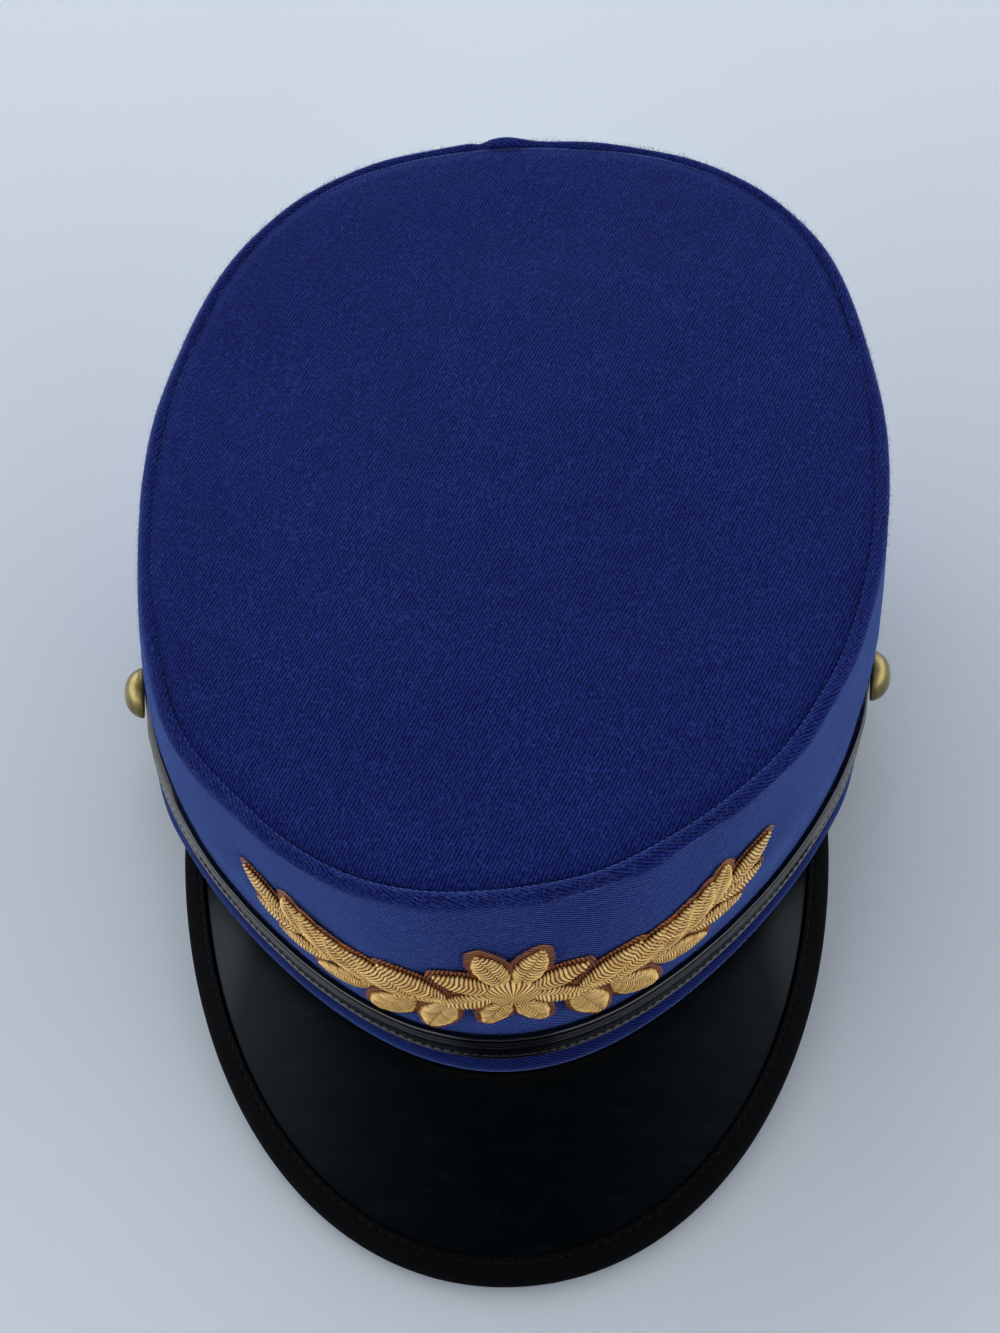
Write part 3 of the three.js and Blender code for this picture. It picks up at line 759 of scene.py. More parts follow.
@dataclass(frozen=True)
class PatentLeather:
    """Shining black patent leather with faint scuffs and creases."""

    name: str = "black_patent"
    black: Colour = paint(4, 5, 8)
    scuff: Colour = paint(26, 28, 32)

    def make(self) -> Material:
        """Makes the material."""
        recipe = Recipe(self.name)
        place = recipe.place(Coordinates.CHART)
        lump = recipe.noise(recipe.stretched(place, (1.0, 2.2, 1.0)), 90.0, 3.0, 0.5)
        crease = recipe.noise(recipe.stretched(place, (2.6, 0.8, 1.0)), 340.0, 4.0, 0.6)
        scratch = recipe.noise(recipe.stretched(place, (1.0, 9.0, 1.0), 0.06), 800.0, 3.0, 0.6)
        marks = scratch.within(0.6, 0.78) * 0.5 + crease.within(0.62, 0.85) * 0.35
        relief = recipe.bump(lump, 0.0005, 0.55)
        relief = recipe.bump(crease + scratch * 0.4, 0.00004, 0.5, relief)
        return recipe.finish(
            Base_Color=recipe.blend(marks, self.black, self.scuff), Roughness=marks * 0.2 + 0.14,
            Specular_IOR_Level=0.16, Coat_Weight=0.78, Coat_Roughness=0.03, Normal=relief,
        )


@dataclass(frozen=True)
class AntiqueBrass:
    """Brass that is bright where it is rubbed and browner at its edge. Its chart runs out from the middle."""

    name: str = "antique_brass"
    bright: Colour = paint(176, 162, 110)
    dull: Colour = paint(130, 116, 74)
    brown: Colour = paint(66, 50, 26)

    def make(self) -> Material:
        """Makes the material."""
        recipe = Recipe(self.name)
        place = recipe.place(Coordinates.OBJECT)
        out, _, _ = recipe.axes(recipe.place(Coordinates.CHART))
        stain = recipe.noise(place, 700.0, 5.0, 0.65)
        speck = recipe.noise(place, 2600.0, 3.0, 0.6)
        brushed = recipe.noise(recipe.stretched(place, (1.0, 1.0, 7.0)), 1500.0, 2.0, 0.5)
        edge = out + (stain - 0.5) * 0.25
        colour = recipe.blend(edge.within(0.3, 0.75), self.bright, self.dull)
        grime = (edge.within(0.9, 1.0) * 0.6 + stain.within(0.54, 0.78) * 0.5).at_most(0.85)
        colour = recipe.blend(grime, colour, self.brown)
        return recipe.finish(
            Base_Color=colour, Metallic=1.0 - grime * 0.4,
            Roughness=speck * 0.14 + brushed * 0.1 + grime * 0.25 + 0.2,
            Normal=recipe.bump(speck + stain * 0.5 + brushed * 0.4, 0.00003, 0.5),
        )


@dataclass(frozen=True)
class SilkThread:
    """Embroidery silk laid side by side, with painted shade darkening the troughs between its threads. The
    chart's first number runs across the threads.
    """

    name: str
    light: Colour
    dark: Colour
    # gap is the painted shade colour in the troughs between threads.
    gap: Colour
    thread_pitch: float = 0.00088
    gloss: float = 0.5

    def make(self) -> Material:
        """Makes the material."""
        recipe = Recipe(self.name)
        chart = recipe.place(Coordinates.CHART)
        solid = recipe.place(Coordinates.OBJECT)
        step, along, _ = recipe.axes(chart)
        waver = (recipe.noise(chart, 420.0, 2.0, 0.5) - 0.5) * 0.5
        count = step / self.thread_pitch + waver
        strand = recipe.node(
            "ShaderNodeTexWhiteNoise", {"noise_dimensions": "1D"}, {"W": count.floor()},
        )
        lot = Channel(recipe, strand.outputs["Value"])
        ridge = (count - 0.25).wave()
        twist = (along / 0.00045 + count * 1.5 + lot * 3.0).wave()
        fluff = recipe.noise(solid, 3200.0, 2.0, 0.6)
        tone = ridge * 0.4 + lot * 0.45 + fluff * 0.4 + twist * 0.15 - 0.2
        silk = recipe.blend(tone.within(0.1, 0.95), self.dark, self.light)
        # Painted shade: where the relief is low, between threads, the colour is darkened towards gap.
        trough_shade = (0.5 - ridge + (fluff - 0.5) * 0.8).within(0.0, 0.4)
        height = ridge * 0.75 + twist * 0.14 + lot * 0.3 + fluff * 0.15
        return recipe.finish(
            Base_Color=recipe.blend(trough_shade, silk, self.gap), Roughness=0.42,
            Specular_IOR_Level=self.gloss, Normal=recipe.bump(height, 0.0002, 0.8),
        )


@dataclass(frozen=True)
class HairFuzz:
    """Short stray hairs of the cloth."""

    name: str = "cloth_hair"
    dark: Colour = paint(22, 34, 96)
    light: Colour = paint(56, 76, 144)

    def make(self) -> Material:
        """Makes the material."""
        recipe = Recipe(self.name)
        lot = recipe.noise(recipe.place(Coordinates.OBJECT), 900.0, 2.0, 0.6)
        return recipe.finish(
            Base_Color=recipe.blend(lot.within(0.35, 0.65), self.dark, self.light), Roughness=0.8,
            Specular_IOR_Level=0.3, Sheen_Weight=0.4, Sheen_Roughness=0.4,
        )


@dataclass(frozen=True)
class FloorCloth:
    """A plain pale sheet, almost smooth."""

    name: str = "pale_floor"
    light: Colour = paint(210, 215, 222)
    shade: Colour = paint(202, 208, 216)

    def make(self) -> Material:
        """Makes the material."""
        recipe = Recipe(self.name)
        place = recipe.place(Coordinates.OBJECT)
        broad = recipe.noise(place, 9.0, 3.0, 0.5)
        fine = recipe.noise(place, 1300.0, 3.0, 0.6)
        colour = recipe.blend(broad * 0.7 + fine * 0.3, self.shade, self.light)
        return recipe.finish(
            Base_Color=colour, Roughness=0.95, Specular_IOR_Level=0.15,
            Normal=recipe.bump(fine, 0.0001, 0.3),
        )


class WallPart(Enum):
    """The parts of the wall's cloth that a row of points may lie on."""

    WALL = "wall"
    ROLL = "roll"


@dataclass(frozen=True)
class WallRow:
    """A row of the wall's cloth, round the whole cap."""

    part: WallPart
    place: float
    out: float = 0.0
    free: bool = False


@dataclass
class SideWall:
    """The wall of blue twill, an open tube that turns over in a soft roll at its upper edge."""

    form: CapForm = FORM
    cloth: float = 2.0
    columns: int = 520
    level_height: float = 20.0
    piping: float = 0.45
    lip_sink: float = 0.55
    lumps: float = 0.22
    lump: Unevenness = Unevenness(11, (2, 26), (0.0, 0.03))
    allowance: Corners = ((228.0, 0.67), (191.0, 3.06), (202.0, 3.23), (248.0, 1.62))
    pinches: tuple[EdgeWave, ...] = (EdgeWave(0.990, 0.009, 0.95), EdgeWave(0.979, 0.003, -0.6))
    sag: float = 0.8
    sag_height: float = 4.0
    sag_start: Pair = (0.347, 0.376)
    sag_end: Pair = (0.334, 0.340)
    row_pitch: float = 0.65
    free_rows: int = 52
    roll_rows: int = 13
    inside_rows: int = 18
    skin_turn: float = 40.0
    sink_turn: float = 62.0
    roll_place: float = 90.0
    roll_lumps: float = 0.8
    piping_front: Pair = (0.25, 0.75)
    lump_fade: Pair = (3.4, 5.0)

    def foot_sag(self, share: Array) -> Array:
        """Gives how far the foot comes down on the peak beside its binding, where the peak dips."""
        from_back = FRONT - np.abs(share - FRONT)
        ahead = 1 - smoothstep(from_back, *self.sag_start)
        return self.sag * ahead * smoothstep(from_back, *self.sag_end)

    def rows(self) -> list[WallRow]:
        """Lists the rows from the foot up the outside, over the roll, down the inside and back."""
        foot = [WallRow(WallPart.WALL, 0.0, out) for out in (-1.0, -0.6)]
        foot += [WallRow(WallPart.WALL, 0.12, -0.28), WallRow(WallPart.WALL, 0.4, -0.08)]
        heights = np.arange(0.9, self.level_height, self.row_pitch)
        outside = [WallRow(WallPart.WALL, height) for height in heights]
        outside += [WallRow(WallPart.WALL, rise, 0.0, True) for rise in np.linspace(0.0, 1.0, self.free_rows)]
        over = [
            WallRow(WallPart.ROLL, turn, self.form.roll_radius)
            for turn in np.linspace(0.0, self.form.groove_turn, self.roll_rows)[1:]
        ]
        inner = max(self.form.roll_radius - self.cloth, self.form.roll_radius / 5)
        lip = [
            WallRow(WallPart.ROLL, self.form.groove_turn, lerp(self.form.roll_radius, inner, way))
            for way in (0.25, 0.6, 1.0)
        ]
        lip += [WallRow(WallPart.ROLL, turn, radius) for turn, radius in self.allowance]
        rises = np.linspace(0.96, 0.0, self.inside_rows)
        inside = [WallRow(WallPart.WALL, rise, -self.cloth, True) for rise in rises]
        inside += [WallRow(WallPart.WALL, height, -self.cloth) for height in (14.0, 8.0, 4.0, 1.6)]
        inside += [WallRow(WallPart.WALL, 0.3, -1.9), WallRow(WallPart.WALL, 0.06, -1.6)]
        return [*foot, *outside, *over, *lip, *inside, WallRow(WallPart.WALL, 0.0, -1.0)]

    def line(self, row: WallRow, share: Array) -> Array:
        """Gives one row's points round the cap."""
        if row.part is WallPart.ROLL:
            skin = (row.out == self.form.roll_radius) * smoothstep(np.array(row.place), 0.0, self.skin_turn)
            sink = self.lip_sink * smoothstep(np.array(row.place), self.sink_turn, self.form.groove_turn)
            radius = row.out - sink * (row.out > 1.0) * (row.place <= self.form.groove_turn)
            lumps = self.lumps * self.lump.at(share, self.roll_place) * self.roll_lumps
            radius = radius + skin * (lumps + swells(self.pinches, share))
            return self.form.roll(share, radius, np.full(share.shape, row.place))
        top = self.form.roll_height(share)
        height = lerp(self.level_height, top, row.place) if row.free else np.full(share.shape, row.place)
        height = height - self.foot_sag(share) * (1 - smoothstep(height, 0.0, self.sag_height))
        out = np.full(share.shape, row.out)
        if row.out > -1.0:
            rise = np.clip(height / self.form.strap_foot, 0.0, 1.0)
            near_front = smoothstep(-np.cos(share * FULL_TURN), *self.piping_front)
            out = out + self.piping * np.sin(math.pi * rise) ** 0.7 * near_front
            fade = smoothstep(height, *(self.form.strap_foot * end for end in self.lump_fade))
            out = out + self.lumps * self.lump.at(share, height) * fade
        return self.form.wall(share, height, out)

    def build(self, finish: Material) -> Piece:
        """Builds the wall."""
        share = np.linspace(0.0, 1.0, self.columns + 1)
        share[-1] = 1.0
        level = np.stack([self.line(row, share) for row in self.rows()])
        level[:, -1] = level[:, 0]
        making = Making("side_wall_cloth")
        making.skin(level)
        piece = making.done(finish, "side_cloth", ("crown_side",))
        return piece


@dataclass
class TopPanel:
    """The oval top of the same twill, let into the roll at a seam groove and slightly puffed."""

    form: CapForm = FORM
    cloth: float = 2.0
    puff: float = 3.0
    side_drop: float = 0.15
    front_drop: float = 0.4
    tuck: float = 0.58
    tuck_width: float = 2.8
    overlap: float = 0.22
    steps: int = 170
    pucker: float = 0.22
    pucker_width: float = 60.0
    sheet_share: float = 0.98
    hollows: tuple[Hollow, ...] = (
        Hollow(-0.55, 0.35, 0.35, 1.28),
        Hollow(0.10, 0.72, 0.25, 1.12),
        Hollow(0.55, -0.20, 0.40, 0.96),
        Hollow(-0.30, -0.50, 0.35, -0.8),
        Hollow(0.35, 0.35, 0.35, -0.8),
    )
    lump: Unevenness = Unevenness(23, (0, 2), (0.004, 0.03), 18)

    def middle(self) -> Array:
        """Gives the panel's middle in plan."""
        return np.array([self.form.crown_aside, -self.form.crown_forward])

    def edge(self, share: Array) -> Array:
        """Draws the panel's edge, which is pressed a little way into the lip of the roll."""
        lip = self.form.roll(share, self.form.roll_radius, np.full(share.shape, self.form.groove_turn))
        return lip[..., :2] + self.form.crown_outward(share) * self.overlap

    def lift(self, plan: Array, way: Array) -> Array:
        """Gives the panel's puff and hollows over the crown's sloping plane."""
        front = smoothstep(-plan[..., 1] / self.form.crown_half[1], 0.1, 0.8)
        lift = self.puff * (1 - way ** 2) - lerp(self.side_drop, self.front_drop, front) * way ** 24
        lift = lift - self.tuck * smoothstep(way, 1.0 - self.tuck_width / self.form.crown_half[0], 1.0)
        for hollow in self.hollows:
            across = (plan[..., 0] - self.form.crown_aside) / self.form.crown_half[0] - hollow.across
            along = (plan[..., 1] + self.form.crown_forward) / self.form.crown_half[1] - hollow.along
            near = np.exp(-(across ** 2 + along ** 2) / hollow.spread ** 2)
            lift = lift - hollow.depth * near * (1 - way ** 4)
        return lift

    def face(self) -> tuple[Array, Array]:
        """Gives the face's points and their places on the cut, both level."""
        side = np.linspace(-1.0, 1.0, self.steps + 1)
        across, along = np.meshgrid(side, side)
        disc = np.stack([across * np.sqrt(1 - along ** 2 / 2), along * np.sqrt(1 - across ** 2 / 2)], -1)
        way = np.minimum(np.linalg.norm(disc, axis=-1), 1.0)
        share = np.arctan2(disc[..., 0], disc[..., 1]) / FULL_TURN % 1.0
        plan = lerp(self.middle(), self.edge(share), way[..., None])
        pucker = self.lump.at(plan[..., 0] / self.pucker_width, plan[..., 1]) * self.pucker * (1 - way ** 6)
        height = self.form.crown_height(plan[..., 1]) + self.lift(plan, way) + pucker
        return raised(plan, height), plan * MILLIMETRE

    def build(self, finish: Material) -> Piece:
        """Builds the panel and gives it its thickness."""
        level, chart = self.face()
        making = Making("top_panel_cloth")
        making.lay(STANCE.place(level), chart)
        bmesh.ops.recalc_face_normals(making.bm, faces=making.bm.faces)
        if sum(face.normal.z for face in making.bm.faces) < 0:
            bmesh.ops.reverse_faces(making.bm, faces=making.bm.faces)
        thickness = self.cloth * MILLIMETRE * self.sheet_share
        bmesh.ops.solidify(making.bm, geom=making.bm.faces, thickness=thickness)
        for face in making.bm.faces:
            face.smooth = True
        piece = making.done(finish, "top_cloth", ("crown_top",))
        return piece


@dataclass
class ChinStrap:
    """The ribbed black patent strap along the foot of the wall, from button to button."""

    form: CapForm = FORM
    thick: float = 1.4
    tab_thick: float = 0.85
    tab_length: float = 6.0
    button_forward: float = 4.7
    button_radius: float = 6.0
    columns: int = 420
    stitch_pitch: float = 2.1
    stitch: Pair = (0.72, 0.24)
    groove_up: float = 0.165
    groove_out: float = 0.42
    tab_span: Pair = (0.75, 2.2)
    end_rows: int = 14
    lump_depth: float = 0.035
    section_steps: int = 96
    section_blur: float = 0.8
    face: Corners = (
        (0.00, 0.10), (0.03, 0.24), (0.11, 0.60), (0.14, 0.36), (0.19, 0.36), (0.22, 0.62),
        (0.42, 0.84), (0.60, 0.98), (0.63, 0.55), (0.655, 0.55), (0.68, 0.98), (0.705, 0.98),
        (0.735, 0.52), (0.755, 0.52), (0.78, 0.98), (0.805, 0.98), (0.835, 0.60), (0.86, 0.80),
        (0.95, 0.94), (1.00, 0.72), (1.00, 0.10),
    )
    lump: Unevenness = Unevenness(31, (8, 60), (0.0, 0.05), 20)

    def thickness(self, share: Array) -> Array:
        """Gives the strap's thickness, which is less under a button."""
        away = np.abs(self.form.rim(share)[..., 1] + self.button_forward)
        rise = smoothstep(away, *(end * self.button_radius for end in self.tab_span))
        return lerp(self.tab_thick, self.thick, rise)

    def places(self) -> tuple[Array, Array]:
        """Gives the places along the strap, and how full its width is at each."""
        radius = self.form.strap_width / 2
        row = 1 - np.cos(np.linspace(0.05, math.pi / 2, self.end_rows))
        end = self.form.share_abeam(-self.button_forward + self.tab_length - radius * row)
        full = np.sqrt(1 - (1 - row) ** 2)
        run = np.linspace(end[-1], 1 - end[-1], self.columns)[1:-1]
        share = np.concatenate([end, run, 1 - end[::-1]])
        return share, np.concatenate([full, np.ones(run.shape), full[::-1]])

    def surface(self, share: Array, full: Array, up: float, out: float) -> Array:
        """Gives a line of points along the strap, at a share of its width and of its thickness."""
        width = self.form.strap_width * full
        foot = self.form.strap_foot + self.form.strap_width / 2 - width / 2
        wave = self.lump.at(share, up * 9.0) * self.lump_depth * (out > 0.3)
        away = self.form.fit_gap + self.thickness(share) * out + wave
        return self.form.wall(share, foot + width * up, away)

    def build(self, finish: Material, thread: Material) -> None:
        """Builds the strap and the stitches in its lower groove."""
        share, full = self.places()
        section = softened(self.face, self.section_steps, self.section_blur)
        level = np.stack([self.surface(share, full, up, out) for up, out in section])
        making = Making("chin_strap_patent")
        making.skin(np.concatenate([level, level[:1]]))
        making.done(finish, "patent", ("chin_strap",))
        self.sew(thread)

    def sew(self, thread: Material) -> None:
        """Sews the row of stitches along the strap's lower border."""
        start = self.form.share_abeam(np.array(-self.button_forward - self.button_radius))
        fine = np.linspace(float(start), 1 - float(start), 4000)
        route = self.surface(fine, np.ones(fine.shape), self.groove_up, self.groove_out)
        outer = self.surface(fine, np.ones(fine.shape), self.groove_up, 1.0)
        making = Making("chin_strap_stitches")
        making.sew(route, outer, self.stitch_pitch, self.stitch)
        making.done(thread, "tape")


@dataclass
class DomedButton:
    """A domed button of antique brass."""

    name: str
    solid: str
    mirrored: bool
    strap: ChinStrap
    radius: float = 6.0
    height: float = 4.7
    seat_gap: float = 0.32
    sides: int = 72
    profile_steps: int = 40
    profile_blur: float = 0.8
    profile: Corners = (
        (0.00, 1.00), (0.20, 0.985), (0.38, 0.935), (0.54, 0.855), (0.68, 0.745), (0.80, 0.610),
        (0.89, 0.460), (0.945, 0.320), (0.975, 0.220), (1.00, 0.150), (1.00, 0.060), (0.97, 0.00),
        (0.60, 0.00), (0.00, 0.00),
    )

    def build(self, finish: Material) -> Piece:
        """Spins the button's outline and seats it on the strap's end."""
        form = self.strap.form
        share = float(form.share_abeam(np.array(-self.strap.button_forward)))
        share = 1 - share if self.mirrored else share
        middle = form.strap_foot + form.strap_width / 2
        normal = form.wall_normal(share, middle)
        seat = form.wall(share, middle) + normal * (self.strap.tab_thick + self.seat_gap)
        making = Making(self.name)
        layer = making.bm.loops.layers.uv.new(CHART)
        line = [
            making.bm.verts.new((self.radius * out * MILLIMETRE, 0.0, self.height * up * MILLIMETRE))
            for out, up in softened(self.profile, self.profile_steps, self.profile_blur)
        ]
        line[0].co.x = line[-1].co.x = 0.0
        edges = [making.bm.edges.new(pair) for pair in zip(line, line[1:])]
        bmesh.ops.spin(
            making.bm, geom=[*line, *edges], cent=(0, 0, 0), axis=(0, 0, 1), dvec=(0, 0, 0),
            angle=FULL_TURN, steps=self.sides, use_merge=True, use_duplicate=False,
        )
        making.close()
        for face in making.bm.faces:
            for loop in face.loops:
                loop[layer].uv = (loop.vert.co.xy.length / (self.radius * MILLIMETRE), 0.0)
        turn = Vector((0, 0, 1)).rotation_difference(Vector(STANCE.turn(normal))).to_matrix().to_4x4()
        place = Matrix.Translation(Vector(STANCE.place(seat)))
        bmesh.ops.transform(making.bm, matrix=place @ turn, verts=making.bm.verts)
        return making.done(finish, "brass", (self.solid,))


@dataclass
class PeakForm:
    """The outlines of the peak, which slopes down from the front of the rim."""

    form: CapForm = FORM
    spread: float = 123.5
    reach_out: float = 40.5
    fullness: float = 3.33
    overrun: float = 1.02
    fan: float = 40.5
    slope: float = 23.1
    sheet: float = 1.7
    tuck: float = 1.9
    bend: float = 3.0
    tape: float = 0.6
    tape_width: float = 4.8
    dip_span: Pair = (0.72, 0.9)

    def places(self, count: int) -> Array:
        """Gives places across the peak, closer together towards its ends."""
        return self.overrun * np.sin((np.arange(count + 1) / count - 0.5) * math.pi)

    def heading(self, place: Array) -> Array:
        """Gives the direction in which the peak runs out, in plan."""
        angle = math.radians(self.fan / 2) * place
        return np.stack([-np.sin(angle), -np.cos(angle)], -1)

    def reach(self, place: Array) -> Array:
        """Gives how far the sheet reaches from the rim, inside its binding."""
        return (self.reach_out - self.form.fit_gap - self.tape) * (1 - np.abs(place) ** self.fullness)

    def plan(self, place: Array, distance: Array) -> Array:
        """Gives points of the sheet in plan."""
        rim = self.form.rim(FRONT + place * self.spread / 2 / 360)
        return rim + self.heading(place) * np.asarray(distance)[..., None]

    def drop(self, place: Array, distance: Array) -> Array:
        """Gives how far the sheet's top lies under the rim."""
        clear = (self.tape + self.form.fit_gap) / math.cos(math.radians(self.slope))
        dip = clear * smoothstep(np.abs(place), *self.dip_span)
        run = (distance + np.hypot(distance, self.bend)) / 2
        return self.form.fit_gap + dip + math.tan(math.radians(self.slope)) * run

    def point(self, place: Array, distance: Array, below: Array = 0.0) -> Array:
        """Gives points on the top of the sheet, or some height below it."""
        height = -self.drop(place, distance) - below
        return raised(self.plan(place, distance), height)

    def drop_near(self, spot: Array, place: Array) -> Array:
        """Gives how far the sheet's top lies under the rim at points in plan near its edge.

        Args:
            spot: The points in plan.
            place: The nearest places on the peak's edge.

        Returns:
            The drops.
        """
        step = 0.0005
        across, distance = place.copy(), self.reach(place)
        for _ in range(12):
            here = self.plan(across, distance)
            sideways = (self.plan(across + step, distance) - here) / step
            outward = self.heading(across)
            miss = spot - here
            area = sideways[..., 0] * outward[..., 1] - sideways[..., 1] * outward[..., 0]
            across = across + (miss[..., 0] * outward[..., 1] - miss[..., 1] * outward[..., 0]) / area
            distance = distance + (sideways[..., 0] * miss[..., 1] - sideways[..., 1] * miss[..., 0]) / area
        return self.drop(across, distance)


@dataclass
class PeakSheet:
    """The smooth black vinyl of the peak."""

    outline: PeakForm
    columns: int = 200
    rows: int = 64

    def build(self, finish: Material) -> Piece:
        """Builds the sheet as a closed skin."""
        outline = self.outline
        place = outline.places(self.columns)
        reach = outline.reach(place)
        foot = np.minimum(0.0, reach) - outline.tuck
        thick = outline.sheet / math.cos(math.radians(outline.slope))
        out = [(way, 0.0) for way in np.linspace(0.0, 1.0, self.rows)]
        back = [(way, 1.0) for way in np.linspace(1.0, 0.0, self.rows // 3)]
        lines = [outline.point(place, lerp(foot, reach, way), thick * low) for way, low in [*out, *back]]
        making = Making("peak_vinyl")
        making.skin(np.stack([*lines, lines[0]]))
        return making.done(finish, "vinyl", ("peak",))


@dataclass
class PeakBinding:
    """The black tape folded round the peak's edge and sewn down near its inner edge."""

    outline: PeakForm
    columns: int = 300
    stitch_in: float = 1.05
    stitch_pitch: float = 2.6
    stitch: Pair = (0.74, 0.17)
    groove: float = 0.72
    sewn_to: float = 0.985

    def edge(self, place: Array) -> tuple[Array, Array]:
        """Gives the peak's edge in plan and the direction out of it."""
        outline = self.outline
        step = 0.002
        edge = outline.plan(place, outline.reach(place))
        ahead = outline.plan(place + step, outline.reach(place + step))
        ahead = ahead - outline.plan(place - step, outline.reach(place - step))
        out = np.stack([-ahead[..., 1], ahead[..., 0]], -1)
        return edge, out / np.linalg.norm(out, axis=-1, keepdims=True)

    def line(self, place: Array, away: float, up: float) -> Array:
        """Gives a line along the binding, by its distance out of the edge and over the sheet."""
        edge, out = self.edge(place)
        plan = edge + out * away
        rise = up / math.cos(math.radians(self.outline.slope))
        height = rise - self.outline.drop_near(plan, place)
        return raised(plan, height)

    def section(self) -> Array:
        """Draws the tape's outline, from its inner edge over the sheet and back under it."""
        outline = self.outline
        over, under = outline.form.fit_gap, -outline.sheet - outline.form.fit_gap
        nose = outline.form.fit_gap + outline.tape
        inner = nose - outline.tape_width
        sewn, tape = inner + self.stitch_in, outline.tape
        outer = softened((
            (inner, over), (inner, over + 0.8 * tape), (inner + 0.15, over + tape),
            (sewn - 0.4, over + tape), (sewn, over + 0.62 * tape), (sewn + 0.4, over + tape),
            (-0.5, over + tape), (0.45, over + 0.6 * tape), (nose, -0.3), (nose, -outline.sheet + 0.3),
            (0.45, under - 0.6 * tape), (-0.5, under - tape), (inner, under - tape), (inner, under),
        ), 60, 0.9)
        lining = np.array([(inner / 2, under), (outline.form.fit_gap, under), (outline.form.fit_gap, over),
                           (inner / 2, over)])
        return np.concatenate([outer, lining, outer[:1]])

    def build(self, finish: Material, thread: Material) -> Piece:
        place = self.outline.places(self.columns)
        making = Making("peak_binding_tape")
        making.skin(np.stack([self.line(place, away, up) for away, up in self.section()]))
        piece = making.done(finish, "tape", ("peak_binding",))
        sewing = self.sew(thread)
        return piece

    def sew(self, thread: Material) -> Piece:
        """Sews the row of stitches in the tape's groove."""
        outline = self.outline
        inner = outline.form.fit_gap + outline.tape - outline.tape_width
        fine = np.linspace(-self.sewn_to, self.sewn_to, 4000)
        route = self.line(fine, inner + self.stitch_in, outline.form.fit_gap + self.groove * outline.tape)
        outer = self.line(fine, inner + self.stitch_in, outline.form.fit_gap + 2 * outline.tape)
        making = Making("peak_binding_stitches")
        making.sew(route, outer, self.stitch_pitch, self.stitch)
        return making.done(thread, "tape")


@dataclass(frozen=True)
class LeafPair:
    """Two leaves at a place along a stem, or one at its end where they don't lean."""

    along: float
    size: float
    lean: float


